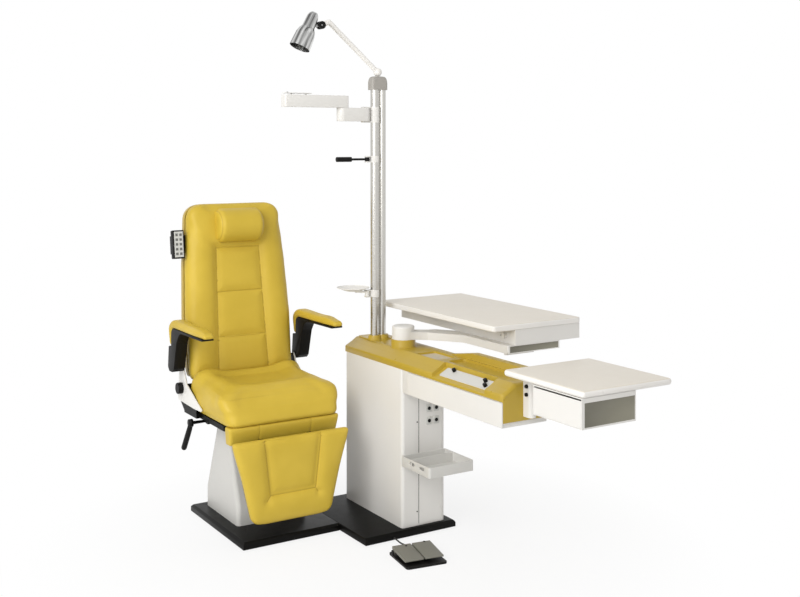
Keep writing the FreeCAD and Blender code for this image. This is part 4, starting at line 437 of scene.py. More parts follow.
def close_edit():
    bpy.ops.object.mode_set(mode="OBJECT")


def modify(piece, name, kind, **settings):
    """Add a modifier and give it its settings."""
    added = piece.modifiers.new(name, kind)
    for key, value in settings.items():
        setattr(added, key, value)
    return added


def apply_all(piece):
    """Apply every modifier from the top of the stack down."""
    make_active(piece)
    for modifier in list(piece.modifiers):
        bpy.ops.object.modifier_apply(modifier=modifier.name)


def dress(piece, finish, body, *nodes):
    """Give a finished piece its finish, the body it moves with and the parts it stands in for."""
    give(piece, finish)
    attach(piece, body)
    if nodes:
        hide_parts(*nodes)
    return piece


def smooth(piece, degrees=35):
    make_active(piece)
    bpy.ops.object.shade_smooth_by_angle(angle=math.radians(degrees))


def tell(piece, *more):
    print(piece.name, len(piece.data.polygons), "faces", *more)


def flat_step(value, low, high):
    """0 below low, 1 above high, and a soft ramp between them."""
    share = min(max((value - low) / (high - low), 0.0), 1.0)
    return share * share * (3 - 2 * share)


# %% The puffing itself
def skin_of(node, name, voxel):
    piece = own_copy(node, name)
    modify(piece, "even_squares", "REMESH", mode="VOXEL", voxel_size=voxel)
    modify(piece, "relax", "SMOOTH", factor=0.5, iterations=3)
    apply_all(piece)
    return piece


def evened(piece, moves, free, rounds):
    """Average each free point's move with its neighbours', so that the foam swells without small wrinkles."""
    field = np.array([tuple(move) for move in moves])
    edges = np.array([tuple(edge.vertices) for edge in piece.data.edges])
    loose = np.array(free)[:, None]
    count = np.bincount(edges.ravel(), minlength=len(field))[:, None]
    for step in range(rounds):
        total = np.zeros_like(field)
        np.add.at(total, edges[:, 0], field[edges[:, 1]])
        np.add.at(total, edges[:, 1], field[edges[:, 0]])
        field = np.where(loose, 0.4 * field + 0.6 * total / count, field)
    return [Vector(move) for move in field]


CLOTH = {"quality": 3, "mass": 0.3, "tension_stiffness": 40, "compression_stiffness": 40, "bending_stiffness": 2.0,
         "vertex_group_mass": "held", "pin_stiffness": 1.0, "use_pressure": True}
PUFF_FRAMES = 20
EVENING_ROUNDS = 14


def puff(piece, held, pressure, cap):
    """Blow the skin up. held(place) says from 0 to 1 how firmly the skin is fixed; cap is the most it may move."""
    rest = [v.co.copy() for v in piece.data.vertices]
    grip = piece.vertex_groups.new(name="held")
    for index, place in enumerate(rest):
        grip.add([index], held(place), "REPLACE")
    began = time.time()
    cloth = modify(piece, "cloth", "CLOTH")
    for key, value in CLOTH.items():
        setattr(cloth.settings, key, value)
    cloth.settings.uniform_pressure_force = pressure
    cloth.settings.effector_weights.gravity = 0.0
    cloth.collision_settings.use_collision = False
    cloth.point_cache.frame_start = 1
    cloth.point_cache.frame_end = PUFF_FRAMES
    for step in range(1, PUFF_FRAMES + 1):
        scene.frame_set(step)
    apply_all(piece)
    scene.frame_set(1)
    moves = [vertex.co - start for vertex, start in zip(piece.data.vertices, rest)]
    furthest = max(move.length for move in moves)
    moves = [move * min(1.0, cap / max(move.length, 1e-9)) for move in moves]
    moves = evened(piece, moves, [held(place) < 0.9 for place in rest], EVENING_ROUNDS)
    for vertex, start, move in zip(piece.data.vertices, rest, moves):
        vertex.co = start + move
    piece.vertex_groups.clear()
    seconds = round(time.time() - began)
    print(piece.name, len(rest), "points, furthest move", round(furthest * 1000, 1), "mm in", seconds, "s")


def subdivide_once(piece):
    modify(piece, "finer", "SUBSURF", levels=1, render_levels=1)
    apply_all(piece)
    smooth(piece, 60)


# %% [markdown]
# A stitched seam pulls the skin down into the foam. Close to the stitch line the skin drops steeply,
# and it recovers over two or three centimetres. The stitches must run along the edges of the mesh, or
# the crease looks like saw teeth. So the squares beside a seam are halved once, the nearest points are
# drawn onto the stitch line, and only then is the seam pressed in with its profile.

# %% Where a point lies beside a seam
def nearest_on_path(point, path):
    """The closest place on a chain of straight runs, and how far away it is."""
    best = (1e9, point)
    for (ax, ay), (bx, by) in zip(path, path[1:]):
        dx, dy = bx - ax, by - ay
        along = ((point[0] - ax) * dx + (point[1] - ay) * dy) / (dx * dx + dy * dy)
        along = min(max(along, 0.0), 1.0)
        place = (ax + along * dx, ay + along * dy)
        best = min(best, (math.hypot(point[0] - place[0], point[1] - place[1]), place))
    return best


def stitched(point, paths):
    """1 on a stitch line, where the skin is held down, and 0 elsewhere."""
    return 1.0 if min(nearest_on_path(point, path)[0] for path in paths) < 0.006 else 0.0


def near_seams(piece, flatten, paths, counts, reach):
    """The points within reach of a stitch line, each with its distance, its place on the line and its weight."""
    found = []
    for vertex in piece.data.vertices:
        weight = counts(vertex.co, vertex.normal)
        if weight > 0.0:
            away, place = min(nearest_on_path(flatten(vertex.co), path) for path in paths)
            if away < reach:
                found.append((vertex, away, place, weight))
    return found


# %% Seams drawn and pressed into a cushion
CREASE_HALF = 0.0030


def draw_to_seams(piece, flatten, axes, paths, counts, grid):
    """Halve the squares beside each stitch line, then pull the closest points onto the line."""
    chosen = {v.index for v, away, place, weight in near_seams(piece, flatten, paths, counts, 0.008)}
    edit_faces(piece, lambda face: all(index in chosen for index in face.vertices))
    bpy.ops.mesh.vertices_smooth(factor=0.5, repeat=6)
    bpy.ops.mesh.subdivide(number_cuts=1, smoothness=0.0)
    close_edit()
    for vertex, away, place, weight in near_seams(piece, flatten, paths, counts, grid * 0.6):
        if weight > 0.4:
            point = flatten(vertex.co)
            vertex.co += axes[0] * (place[0] - point[0]) + axes[1] * (place[1] - point[1])


def press_seams(piece, flatten, paths, counts, crease, valley, wide):
    """Press stitch lines in. flatten maps a place to the plane of the paths; counts(place, normal) is 0 to 1."""
    moves = []
    for vertex, away, place, weight in near_seams(piece, flatten, paths, counts, wide * 1.8):
        depth = crease * math.exp(-((away / CREASE_HALF) ** 2)) + valley * math.exp(-((away / wide) ** 2) * 1.4)
        moves.append((vertex, vertex.normal * depth * weight))
    for vertex, move in moves:
        vertex.co -= move


def mark_crease_shade(piece, flatten, paths, counts, half):
    """Write how close each point is to a stitch line, so that the finish can paint shade into the crease."""
    attribute = piece.data.attributes.get("seam_shade") or piece.data.attributes.new("seam_shade", "FLOAT", "POINT")
    for vertex, away, place, weight in near_seams(piece, flatten, paths, counts, half * 3):
        value = attribute.data[vertex.index]
        value.value = max(value.value, weight * math.exp(-((away / half) ** 2)))


def sew(piece, flatten, axes, paths, counts, crease, valley, wide, grid, half=0.0020):
    """One whole seam: draw the mesh to it, press it in and paint shade along its crease."""
    draw_to_seams(piece, flatten, axes, paths, counts, grid)
    press_seams(piece, flatten, paths, counts, crease, valley, wide)
    mark_crease_shade(piece, flatten, paths, counts, half)


def cushion(node, name, body, voxel, held, cap, pressure=4.0):
    piece = skin_of(node, name, voxel)
    puff(piece, held, pressure, cap)
    subdivide_once(piece)
    dress(piece, upholstery, body, node)
    return piece


# %% [markdown]
# The backrest leans back, so its seams are easier to draw in its own upright frame: across, depth
# behind the front, and height. Two long seams run up the panel, and three short ones cross between
# them. The skin is fixed to the shell behind, and the stitch lines are held so that foam swells
# between them.

# %% Back cushion
BACK_LEAN = math.atan(0.137)
BACK_FOOT = Vector((0.0, 0.116, 0.609))
BACK_AXES = (Vector((1.0, 0.0, 0.0)), Vector((0.0, math.sin(BACK_LEAN), math.cos(BACK_LEAN))))
PANEL_LOW, PANEL_HIGH = (0.119, 0.000), (0.103, 0.556)
BACK_SEAM_HEIGHTS = (0.163, 0.360, 0.556)


def in_back_frame(place):
    return Matrix.Rotation(BACK_LEAN, 3, "X") @ (Vector(place) - BACK_FOOT)


def back_plane(place):
    local = in_back_frame(place)
    return local.x, local.z


def panel_half(height):
    share = height / PANEL_HIGH[1]
    return PANEL_LOW[0] + (PANEL_HIGH[0] - PANEL_LOW[0]) * share


BACK_LONG = [[(side * PANEL_LOW[0], -0.010), (side * PANEL_HIGH[0], PANEL_HIGH[1])] for side in (1, -1)]
BACK_CROSS = [[(-panel_half(h), h), (panel_half(h), h)] for h in BACK_SEAM_HEIGHTS]
BACK_PATHS = BACK_LONG + BACK_CROSS


def held_on_back(place):
    local = in_back_frame(place)
    return max(flat_step(local.y, 0.030, 0.048), stitched((local.x, local.z), BACK_PATHS), 0.04)


def faces_front(place, normal):
    return flat_step(-normal.y, 0.35, 0.75)


back_cushion = cushion("back_cushion", "back_cushion_soft", "back", 0.0072, held_on_back, cap=0.012)


def close_back_foot(piece):
    """Let the foot of the cushion hang a little lower, down behind the seat's rear edge."""
    for vertex in piece.data.vertices:
        local = in_back_frame(vertex.co)
        vertex.co -= BACK_AXES[1] * 0.012 * (1.0 - flat_step(local.z, 0.0, 0.060))


close_back_foot(back_cushion)
sew(back_cushion, back_plane, BACK_AXES, BACK_PATHS, faces_front, crease=0.0024, valley=0.0050, wide=0.024,
    grid=0.0018)
tell(back_cushion)

# %% [markdown]
# The headrest is a short half roll. It is stitched at its ends and held where it meets the backrest.

# %% Headrest pillow
PILLOW_HALF = 0.1075


def held_on_pillow(place):
    local = in_back_frame(place)
    return max(flat_step(local.y, -0.012, 0.004), 0.04)


headrest = cushion("headrest_pillow", "headrest_soft", "back", 0.0060, held_on_pillow, cap=0.008)


def shape_headrest(piece):
    """Narrow the roll a little, and let its crown stand a few millimetres further forward."""
    for vertex in piece.data.vertices:
        front = flat_step(-in_back_frame(vertex.co).y, 0.002, 0.030)
        vertex.co.x *= 0.915
        vertex.co.y -= 0.006 * front


def pillow_ends(place, normal):
    return flat_step(-in_back_frame(place).y, 0.002, 0.012)


def pillow_plane(place):
    return abs(in_back_frame(place).x), 0.0


shape_headrest(headrest)
PILLOW_PATHS = [[(PILLOW_HALF - 0.009, -1.0), (PILLOW_HALF - 0.009, 1.0)]]
press_seams(headrest, pillow_plane, PILLOW_PATHS, pillow_ends, crease=0.0012, valley=0.0012, wide=0.010)
mark_crease_shade(headrest, pillow_plane, PILLOW_PATHS, pillow_ends, half=0.0014)
tell(headrest)

# %% [markdown]
# The seat is deep foam. Its skin is held along the underside, and the front keeps its tall plain face.
# After the puff we shape the top: a shallow dish where a person sits, bolsters that rise at
# both sides towards the back, and a rear edge that stands up against the foot of the backrest.

# %% Seat cushion
def held_on_seat(place):
    return max(flat_step(0.500 - place.z, 0.0, 0.020), 0.06)


seat_cushion = cushion("seat_cushion", "seat_cushion_soft", "seat", 0.0075, held_on_seat, cap=0.012)


def shape_seat_top(piece):
    for vertex in piece.data.vertices:
        x, y, z = vertex.co
        top = flat_step(z, 0.565, 0.604)
        hollow = (1.0 - flat_step(abs(x), 0.080, 0.215)) * flat_step(y, -0.235, -0.110)
        rise = flat_step(abs(x), 0.110, 0.215) * flat_step(y, -0.190, 0.060)
        ledge = flat_step(y, 0.010, 0.085) * (1.0 - flat_step(y, 0.100, 0.125))
        vertex.co.z += top * (0.012 * rise + 0.022 * ledge - 0.012 * hollow)
        foot = flat_step(0.535 - z, 0.0, 0.045)
        shoulder = flat_step(z, 0.515, 0.575) * (1.0 - flat_step(z, 0.592, 0.612)) * flat_step(-y, -0.020, 0.160)
        vertex.co.x += math.copysign(0.014, x) * shoulder * flat_step(abs(x), 0.200, 0.240)
        vertex.co.y -= 0.008 * foot * flat_step(-y, 0.250, 0.280)


shape_seat_top(seat_cushion)
SEAT_AXES = (Vector((1.0, 0.0, 0.0)), Vector((0.0, 0.0, 1.0)))
SEAT_EDGE_SEAM = [[(-0.30, 0.583), (0.30, 0.583)]]


def front_face(place, normal):
    return 0.6 * flat_step(-normal.y, 0.45, 0.8) * (1.0 - flat_step(place.x, -0.150, 0.020))


def across_and_up(place):
    return place.x, place.z


sew(seat_cushion, across_and_up, SEAT_AXES, SEAT_EDGE_SEAM, front_face, crease=0.0012, valley=0.0010, wide=0.010,
    grid=0.0019, half=0.0016)
tell(seat_cushion)

# %% [markdown]
# Under the seat hangs a thin padded valance with two faint upright seams. It reaches down behind the
# leg rest. The leg rest has a puffed border round a sunk middle panel, and it is held only at the board
# behind.

# %% Valance
def held_on_valance(place):
    return max(flat_step(place.y, -0.280, -0.262), 0.10)


valance = cushion("seat_valance", "valance_soft", "seat", 0.0065, held_on_valance, cap=0.005, pressure=3.0)


def lengthen_valance(piece):
    """Stretch the lower half down, and draw it in and back a little towards its hidden hem."""
    for vertex in piece.data.vertices:
        low = flat_step(0.476 - vertex.co.z, 0.006, 0.046)
        vertex.co.z -= 0.026 * low
        vertex.co.y += 0.010 * low
        vertex.co.x *= 0.985 - 0.030 * low


lengthen_valance(valance)
VALANCE_PATHS = [[(x, 0.38), (x, 0.50)] for x in (-0.118, 0.118)]
sew(valance, across_and_up, SEAT_AXES, VALANCE_PATHS, faces_front, crease=0.0010, valley=0.0012, wide=0.012,
    grid=0.0016, half=0.0014)
tell(valance)

# %% Leg rest
LEG_PANEL = [(-0.129, 0.440), (-0.1015, 0.205), (0.1015, 0.205), (0.129, 0.440)]
LEG_PATHS = [LEG_PANEL, [(-0.1015, 0.205), (-0.116, 0.185)], [(0.1015, 0.205), (0.112, 0.190)]]


def held_on_legrest(place):
    return max(flat_step(place.y, -0.350, -0.338), stitched((place.x, place.z), LEG_PATHS), 0.04)


legrest = cushion("legrest_cushion", "legrest_soft", "legrest", 0.0065, held_on_legrest, cap=0.010)


def inside_leg_panel(place):
    (half_top, top), (half_foot, foot) = LEG_PANEL[3], LEG_PANEL[2]
    half = half_foot + (place.z - foot) / (top - foot) * (half_top - half_foot)
    return flat_step(half - abs(place.x), 0.0, 0.004) * flat_step(place.z - foot, 0.0, 0.004)


def shape_legrest(piece):
    """Sink the middle panel a few millimetres, and let the top corners of the border stand out sideways."""
    normals = [v.normal.copy() for v in piece.data.vertices]
    for vertex, normal in zip(piece.data.vertices, normals):
        vertex.co.y += 0.0045 * faces_front(vertex.co, normal) * inside_leg_panel(vertex.co)
        vertex.co.x += math.copysign(0.010, vertex.co.x) * flat_step(vertex.co.z, 0.250, 0.420) * flat_step(
            abs(vertex.co.x), 0.150, 0.250)
        vertex.co.z += 0.004 * flat_step(vertex.co.z, 0.380, 0.425)


shape_legrest(legrest)
sew(legrest, across_and_up, SEAT_AXES, LEG_PATHS, faces_front, crease=0.0030, valley=0.0060, wide=0.022,
    grid=0.0016)
tell(legrest)

# %% [markdown]
# The armrest pads are upholstered too. Each one is level in front, ends in a blunt tapered tip, and
# bends down over the rear of its bracket into a tail. The skin is held along its flat underside. The
# two pads are mirror images, so the second is shaped by the same steps from its own solid.

# %% Armrest pads
def held_on_pad(place):
    return max(flat_step(0.832 - place.z, 0.0, 0.004) * (1.0 - flat_step(place.y, 0.150, 0.180)), 0.06)


def shape_pad(piece, side):
    """Taper the front tip and the tail, round the top, and let the level part dip a little in the middle."""
    centre = side * 0.300
    for vertex in piece.data.vertices:
        x, y, z = vertex.co
        tip = flat_step(-y, 0.090, 0.205)
        tail = flat_step(0.850 - z, 0.0, 0.100) * flat_step(y, 0.120, 0.170)
        high = flat_step(z, 0.827, 0.862)
        vertex.co.x = centre + (x - centre) * (1.0 - 0.20 * tip - 0.18 * tail) * (1.0 - 0.10 * high)
        vertex.co.z -= 0.012 * tip * high
        vertex.co.z -= 0.004 * high * math.exp(-(((y + 0.02) / 0.09) ** 2))
        vertex.co.y -= 0.010 * tail * flat_step(y, 0.175, 0.202)


for side, word in ((-1, "left"), (1, "right")):
    pad = cushion("armrest_pad_" + word, "armrest_pad_soft_" + word, "armrest_" + word, 0.0055, held_on_pad,
                  cap=0.004)
    shape_pad(pad, side)
    smooth(pad, 70)
    tell(pad)

# %% [markdown]
# Sheet metal and mouldings never end in a perfectly sharp edge, and it is the small rounding that
# catches the light in a photograph. For most rigid parts we therefore copy the solid, turn its loose
# triangles back into whole flat faces, and round the edges with a narrow bevel.

# %% Rounding the edges of a copied solid
def merge_flats(piece, degrees=0.8):
    edit_faces(piece, lambda face: True)
    bpy.ops.mesh.dissolve_limited(angle_limit=math.radians(degrees))
    close_edit()


def round_edges(piece, width, segments=3, degrees=32):
    modify(piece, "rounded", "BEVEL", width=width, segments=segments, limit_method="ANGLE",
           angle_limit=math.radians(degrees), use_clamp_overlap=True)
    apply_all(piece)
    smooth(piece, 38)


def flat_copy(node, name):
    piece = own_copy(node, name)
    merge_flats(piece)
    return piece


def rounded_copy(node, name, finish, body, width, segments=3, degrees=32):
    piece = flat_copy(node, name)
    round_edges(piece, width, segments, degrees)
    return dress(piece, finish, body, node)


def second_finish(piece, finish, wanted):
    """Give the faces that wanted(face) picks another finish of their own."""
    piece.data.materials.append(finish)
    slot = len(piece.data.materials) - 1
    for face in piece.data.polygons:
        if wanted(face):
            face.material_index = slot


ROUNDED = (
    ("chair_base_plate", "chair_base", base_black, "base", 0.0035),
    ("stand_base_plate", "stand_base", base_black, "base", 0.0035),
    ("pedestal_cover", "pedestal_sheet", pedestal_shaded_paint, "base", 0.0022),
    ("cabinet_shell", "cabinet_sheet", white_paint, "base", 0.0015),
    ("console_beam", "console_sheet", white_paint, "base", 0.0015),
    ("instrument_tray", "tray_moulding", tray_white, "base", 0.0008),
    ("foot_pedal_base", "switch_base", black_plastic, "base", 0.0012),
    ("side_cover_left", "side_plate_left", white_plastic, "seat", 0.0012),
    ("side_cover_right", "side_plate_right", white_plastic, "seat", 0.0012),
    ("phoropter_inner_arm", "inner_arm_sheet", white_paint, "arm_inner", 0.0015),
    ("phoropter_outer_arm", "outer_arm_sheet", white_paint, "arm_outer", 0.0012),
)
for row in ROUNDED:
    piece = rounded_copy(*row)
    tell(piece)

# %% [markdown]
# The brackets under the armrests are moulded: the edges are well rounded, and a thin lip runs on under
# the pad.

# %% Armrest brackets
for word in ("left", "right"):
    bracket = rounded_copy("armrest_arm_" + word, "armrest_bracket_" + word, black_plastic, "armrest_" + word,
                           0.0065, 4)
    tell(bracket)

# %% [markdown]
# The lid of the console is one large glossy moulding. Its edges are rounded, the two sockets that take
# the pole flare out softly at their feet, and the shallow recess beside the arm's boss has a paler,
# flat floor, a painted highlight where light falls into the recess, which only needs a finish of its own.

# %% The console's moulded lid
SOCKET_AXES = (Vector((0.4935, -0.184)), Vector((0.5313, -0.184)))
SOCKET_BORE, SOCKET_REACH, DECK, RIM = 0.0215, 0.034, 0.741, 0.765
RIM_PIVOT = 0.752
RECESS_X, RECESS_Y, RECESS_FLOOR = (0.470, 0.566), (-0.716, -0.560), 0.744


def flare_sockets(piece):
    """Lower the rims of the pole's two sockets and widen their feet."""
    for vertex in piece.data.vertices:
        x, y, z = vertex.co
        axis = min(SOCKET_AXES, key=lambda a: math.hypot(x - a.x, y - a.y))
        out = math.hypot(x - axis.x, y - axis.y)
        if out < SOCKET_REACH and z > RIM:
            vertex.co.z = RIM_PIVOT + (z - RIM_PIVOT) * 0.60
        elif SOCKET_BORE < out < SOCKET_REACH and z > DECK:
            vertex.co.x = axis.x + (x - axis.x) * 1.20
            vertex.co.y = axis.y + (y - axis.y) * 1.20


def on_recess_floor(face):
    x, y, z = face.center
    within = RECESS_X[0] < x < RECESS_X[1] and RECESS_Y[0] < y < RECESS_Y[1]
    return within and abs(z - RECESS_FLOOR) < 0.002 and face.normal.z > 0.9


lid = own_copy("console_lid", "lid_moulding")
flare_sockets(lid)
merge_flats(lid)
round_edges(lid, 0.0016, 3, 28)
dress(lid, yellow_mould, "base", "console_lid")
# The paler floor of the recess is a painted highlight.
second_finish(lid, recess_painted_highlight, on_recess_floor)
tell(lid, "highest point", round(max(v.co.z for v in lid.data.vertices), 3))

# %% [markdown]
# Both table tops are thick laminated boards. The face is warm grey, and a white plastic lip runs round
# the rim. The rim is a full round, so its bevel is nearly half as wide as the board is thick.

# %% Table tops with a round white lip
edge_white = painted("edge_white", (0.82, 0.80, 0.765), 0.30, 1200.0, 0.02)


def table_board(node, name, body):
    board = rounded_copy(node, name, laminate, body, 0.0085, 5, 40)
    second_finish(board, edge_white, lambda face: face.normal.z < 0.75)
    tell(board)


table_board("large_table_top", "large_board", "large_table")
table_board("small_table_top", "small_board", "small_table")

# %% [markdown]
# Under the tops hang sheet-metal boxes. Their near ends lie in shade, so each gets a darker panel of painted
# shade set into a thin white frame. On the copied solid we pick that one end face, inset it, push the inner
# face in by a millimetre and a half, and give it the dark painted-shade finish.

# %% Boxes with a dark end panel
def shade_box_end(piece, near_y, low, high, depth=0.0015):
    """Inset the end face at near_y, fit its inner face to the corners low and high, push it in and paint shade on it.
    """
    count = edit_faces(piece, lambda face: face.normal.y < -0.98 and abs(face.center.y - near_y) < 0.0006
                       and face.area > 0.008)
    bpy.ops.mesh.inset(thickness=0.004, depth=0.0)
    close_edit()
    inner = [face for face in piece.data.polygons if face.select]
    corners = {index for face in inner for index in face.vertices}
    for axis, start, end in ((0, low[0], high[0]), (2, low[1], high[1])):
        values = [piece.data.vertices[i].co[axis] for i in corners]
        for i, value in zip(corners, values):
            share = (value - min(values)) / (max(values) - min(values))
            piece.data.vertices[i].co[axis] = start + share * (end - start)
    edit_faces(piece, lambda face: face.select)
    bpy.ops.mesh.inset(thickness=0.0006, depth=-depth)
    close_edit()
    # The inner face gets the dark finish: painted shade.
    second_finish(piece, box_end_painted_shade, lambda face: face.select)
    print(piece.name, "end faces:", count)


def sheet_box(node, name, body, near_y, low, high):
    box = flat_copy(node, name)
    dress(box, white_paint, body, node)
    shade_box_end(box, near_y, low, high)
    smooth(box, 30)


sheet_box("small_table_box", "small_box_sheet", "small_table", -1.665, (0.416, 0.690), (0.6425, 0.772))
sheet_box("table_arm", "carrier_sheet", "table_carrier", -0.919, (0.6845, 0.7885), (0.9345, 0.8150))

# %% [markdown]
# The small fittings come last. Four socket plates sit on the service panel: each is pale plastic with
# one round black mouth and a small screw. We start from the solid's plates and add mouth and screw as
# shaped cylinders, then join everything into one piece.

# %% Shaping helpers for small fittings
def turned(name, radius, depth, place, normal_axis, segments=32):
    """A short cylinder whose axis lies along X, Y or Z, left selected as the active object."""
    deselect_all()
    turn = {"x": (0, math.radians(90), 0), "y": (math.radians(90), 0, 0), "z": (0, 0, 0)}[normal_axis]
    bpy.ops.mesh.primitive_cylinder_add(vertices=segments, radius=radius, depth=depth, location=place, rotation=turn)
    piece = bpy.context.active_object
    piece.name = name
    bpy.ops.object.transform_apply(location=True, rotation=True, scale=True)
    return piece


def hollow_front(piece, rim, depth):
    """Inset the end face that looks forward, and push its middle in."""
    edit_faces(piece, lambda face: face.normal.y < -0.99)
    bpy.ops.mesh.inset(thickness=rim, depth=0.0)
    bpy.ops.mesh.inset(thickness=rim * 0.15, depth=-depth)
    close_edit()


def joined(name, pieces):
    deselect_all()
    for piece in pieces:
        piece.select_set(True)
    bpy.context.view_layer.objects.active = pieces[0]
    bpy.ops.object.join()
    pieces[0].name = name
    return pieces[0]


# %% Socket plates on the service panel
socket_plates = flat_copy("socket_outlets", "socket_plates")
round_edges(socket_plates, 0.0008, 2)
give(socket_plates, keys_rubber)
parts = [socket_plates]
for x in (0.538, 0.574):
    for z in (0.463, 0.515):
        cover = turned("cover", 0.0100, 0.0016, (x, -0.5564, z), "y")
        give(cover, keys_rubber)
        mouth = turned("mouth", 0.0078, 0.0030, (x, -0.5567, z), "y")
        hollow_front(mouth, 0.0012, 0.0008)
        give(mouth, black_plastic)
        screw = turned("screw", 0.0015, 0.0014, (x + (-0.0105 if x < 0.55 else 0.0105), -0.5563, z), "y", 16)
        give(screw, steel)
        parts += [cover, mouth, screw]
sockets = joined("socket_plates", parts)
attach(sockets, "base")
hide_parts("socket_outlets")
smooth(sockets, 35)
tell(sockets)

# %% [markdown]
# The hand set is a black shell with a pale keypad let into its face. The keypad is a thin sheet with
# rounded corners, and the grey keys stand a little proud of it.

# %% Hand set
KEYPAD_MIDDLE, KEYPAD_SIZE, KEYPAD_FACE = (-0.2735, 0.0149, 0.5805), (0.040, 0.0008, 0.112), 0.0145

rounded_copy("handset", "handset_shell", black_plastic, "back", 0.0030, 4)


def from_back_frame(place):
    return Matrix.Rotation(-BACK_LEAN, 3, "X") @ Vector(place) + BACK_FOOT


def keypad_sheet():
    deselect_all()
    bpy.ops.mesh.primitive_cube_add(size=1.0, location=(0, 0, 0))
    sheet = bpy.context.active_object
    sheet.name = "keypad_sheet"
    for vertex in sheet.data.vertices:
        vertex.co = [middle + part * size for middle, part, size in zip(KEYPAD_MIDDLE, vertex.co, KEYPAD_SIZE)]
    round_edges(sheet, 0.0039, 4, 80)
    for vertex in sheet.data.vertices:
        vertex.co.y = KEYPAD_MIDDLE[1] if vertex.co.y > KEYPAD_MIDDLE[1] else KEYPAD_FACE
        vertex.co = from_back_frame(vertex.co)
    return dress(sheet, keys_rubber, "back")


tell(keypad_sheet())

# %% [markdown]
# The control plate lies in the sloped deck of the lid. Its four corners are rounded, and its edge is a thin
# pale line of painted highlight. The solid is a plain thin plate, so only its four short corner edges are rounded.

# %% Control plate
plate = flat_copy("control_panel", "control_plate")
plate_low, plate_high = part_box("control_panel")


def plate_corner(edge):
    a, b = (plate.data.vertices[index].co for index in edge.vertices)
    end = min(abs(a.y - plate_low[1]), abs(a.y - plate_high[1])) < 0.0006 and abs(a.y - b.y) < 0.0003
    side = min(abs(a.x - plate_low[0]), abs(a.x - plate_high[0])) < 0.0030
    return end and side and 0.0012 < (a - b).length < 0.0028


corners = edit_picked(plate, "edges", [bool(plate_corner(edge)) for edge in plate.data.edges])
bpy.ops.mesh.bevel(offset=0.008, segments=5, affect="EDGES")
close_edit()
# The pale edge finish is a painted highlight round the plate.
dress(plate, edge_white, "base", "control_panel")
second_finish(plate, panel_grey, lambda face: face.normal.z > 0.3 and abs(face.normal.y) < 0.2)
smooth(plate, 30)
tell(plate, corners, "corners rounded")

# %% [markdown]
# The cap of the pole is a soft grey dome over both tubes. We narrow the solid until it just covers the
# tubes, cut level rings into it with bisect, and draw each ring in further than the one below.

# %% Pole cap
CAP_MIDDLE, DOME_FOOT, DOME_TOP = Vector((0.5085, -0.184)), 1.892, 1.924

cap = flat_copy("pole_cap", "pole_dome")
for step in range(9):
    edit_faces(cap, lambda face: True)
    height = DOME_FOOT + (DOME_TOP - DOME_FOOT) * math.sin(math.radians(step * 10.5))
    bpy.ops.mesh.bisect(plane_co=(0, 0, height), plane_no=(0, 0, 1))
    close_edit()
for vertex in cap.data.vertices:
    share = min(max((vertex.co.z - DOME_FOOT) / (DOME_TOP - DOME_FOOT), 0.0), 1.0)
    out = Vector((vertex.co.x, vertex.co.y)) - CAP_MIDDLE
    bore = vertex.co.z > 1.88 and math.hypot(vertex.co.x - 0.510, vertex.co.y + 0.184) < 0.0135
    if not bore:
        draw = 0.915 * (0.62 + 0.38 * math.sqrt(1.0 - share * share))
        vertex.co.x = CAP_MIDDLE.x + out.x * draw
        vertex.co.y = CAP_MIDDLE.y + out.y * draw * 0.99
dress(cap, grey_plastic, "base", "pole_cap")
smooth(cap, 45)
tell(cap)

# %% [markdown]
# The swivel lock is a black cranked lever with a fat moulded grip. We thicken the solid's hub and grip
# by moving points away from their own axes, and then round them.

# %% Swivel lock lever
lever = own_copy("swivel_lock_lever", "lock_lever")
GRIP_TOP, GRIP_FOOT = Vector((-0.288, 0.045, 0.409)), Vector((-0.288, 0.108, 0.316))
HUB_FACE, HUB_Y, HUB_Z, HUB_LOWEST = -0.279, 0.033, 0.437, 0.4215


def fatten(piece):
    line = GRIP_FOOT - GRIP_TOP
    for vertex in piece.data.vertices:
        place = vertex.co
        if place.x < HUB_FACE and place.z > HUB_LOWEST:
            vertex.co += Vector((0.0, place.y - HUB_Y, place.z - HUB_Z)) * 0.30
        elif place.z < HUB_LOWEST:
            along = min(max((place - GRIP_TOP).dot(line) / line.length_squared, 0.0), 1.0)
            vertex.co += (place - GRIP_TOP - line * along) * (0.34 - 0.34 * along)


fatten(lever)
dress(lever, black_plastic, "swivel_lock", "swivel_lock_lever")
smooth(lever, 50)
tell(lever)

# %% [markdown]
# Some tiny things finish the tables and the arm: a black lock knob on the side of the large table's
# apron, two black clamp knobs on the bracket at the end of the lid, and the dark screw that holds the
# thin plate on the pole arm. Each is a cylinder with a rounded rim.

# %% Small knobs and screws
def knob(name, body, radius, depth, place, axis, rim):
    piece = turned(name, radius, depth, place, axis)
    round_edges(piece, rim, 3, 60)
    dress(piece, black_plastic, body)


knob("apron_knob", "large_table", 0.0065, 0.008, (0.7065, -0.838, 0.848), "x", 0.002)
knob("arm_plate_screw", "arm_outer", 0.0042, 0.003, (0.062, -0.184, 1.8435), "z", 0.001)
knob("bracket_clamp_1", "base", 0.0070, 0.010, (0.4975, -1.2570, 0.742), "x", 0.002)
knob("bracket_clamp_2", "base", 0.0070, 0.010, (0.4975, -1.2570, 0.712), "x", 0.002)
print("four knobs and screws made")

# %% [markdown]
# The lamp hangs on a white link that ends in a black knuckle. We fatten the eye round the pin, but only
# as far as a ball round the pin that the lamp's shade never reaches, and give that end the black finish.

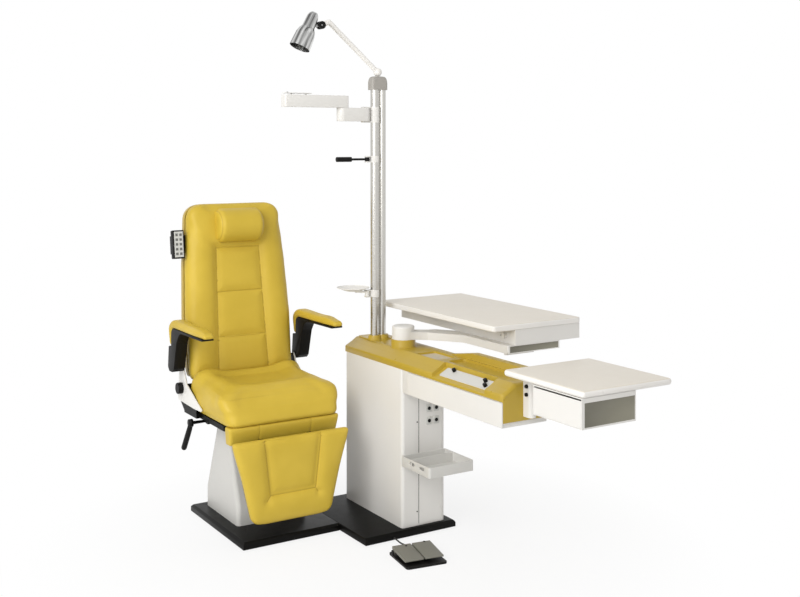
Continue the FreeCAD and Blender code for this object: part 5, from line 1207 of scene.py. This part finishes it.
# %% Lamp link with its black knuckle
LAMP_PIN = Vector((0.222, -0.184, 2.137))
PIN_BORE, EYE_RIM, KNUCKLE = 0.009, 0.0135, 0.0195

link = own_copy("lamp_arm", "lamp_link_rods")
for vertex in link.data.vertices:
    out = vertex.co - LAMP_PIN
    if PIN_BORE < out.xz.length < EYE_RIM:
        vertex.co.x += out.x * 0.42
        vertex.co.z += out.z * 0.42
        if abs(out.y) > 0.010:
            vertex.co.y += out.y * 0.25
dress(link, edge_white, "lamp_link", "lamp_arm")
second_finish(link, black_plastic, lambda face: (face.center - LAMP_PIN).xz.length < KNUCKLE)
smooth(link, 45)
tell(link)

# %% [markdown]
# The service panel stands in the stand's narrow front. A thin black strip along its left edge is painted
# shade, standing for the shadow in the gap there, and two small screws hold the sheet beside it.

# %% Painted shadow gap and screws beside the service panel
deselect_all()
# A black strip of painted shade, standing for the shadow in the gap.
bpy.ops.mesh.primitive_cube_add(size=1.0, location=(0.4878, -0.5533, 0.317))
gap = bpy.context.active_object
gap.name = "panel_gap_shade"
bpy.ops.transform.resize(value=(0.0018, 0.0008, 0.552))
bpy.ops.object.transform_apply(location=True, rotation=True, scale=True)
dress(gap, black_plastic, "base")
knob("panel_screw_1", "base", 0.0030, 0.0016, (0.4800, -0.5535, 0.464), "y", 0.0005)
knob("panel_screw_2", "base", 0.0030, 0.0016, (0.4800, -0.5535, 0.091), "y", 0.0005)
print("gap and two screws made")

# %% [markdown]
# The two pedals are plain plates with rounded rims. A small dark screw sits near the upper edge of each.
# We drop a point onto the plate from above to find out how high the screw has to sit.

# %% Foot pedals
for word, x, y in (("left", 0.3090, -0.7390), ("right", 0.3930, -0.7400)):
    body = "pedal_" + word
    pedal = rounded_copy("foot_pedal_" + word, "pedal_plate_" + word, pedal_grey, body, 0.0016, 3, 40)
    spot = pedal.closest_point_on_mesh(Vector((x, y, 0.060)))[1]
    knob("pedal_screw_" + word, body, 0.0048, 0.0024, spot, "z", 0.0004)
    tell(pedal, "screw at", [round(v, 3) for v in spot])
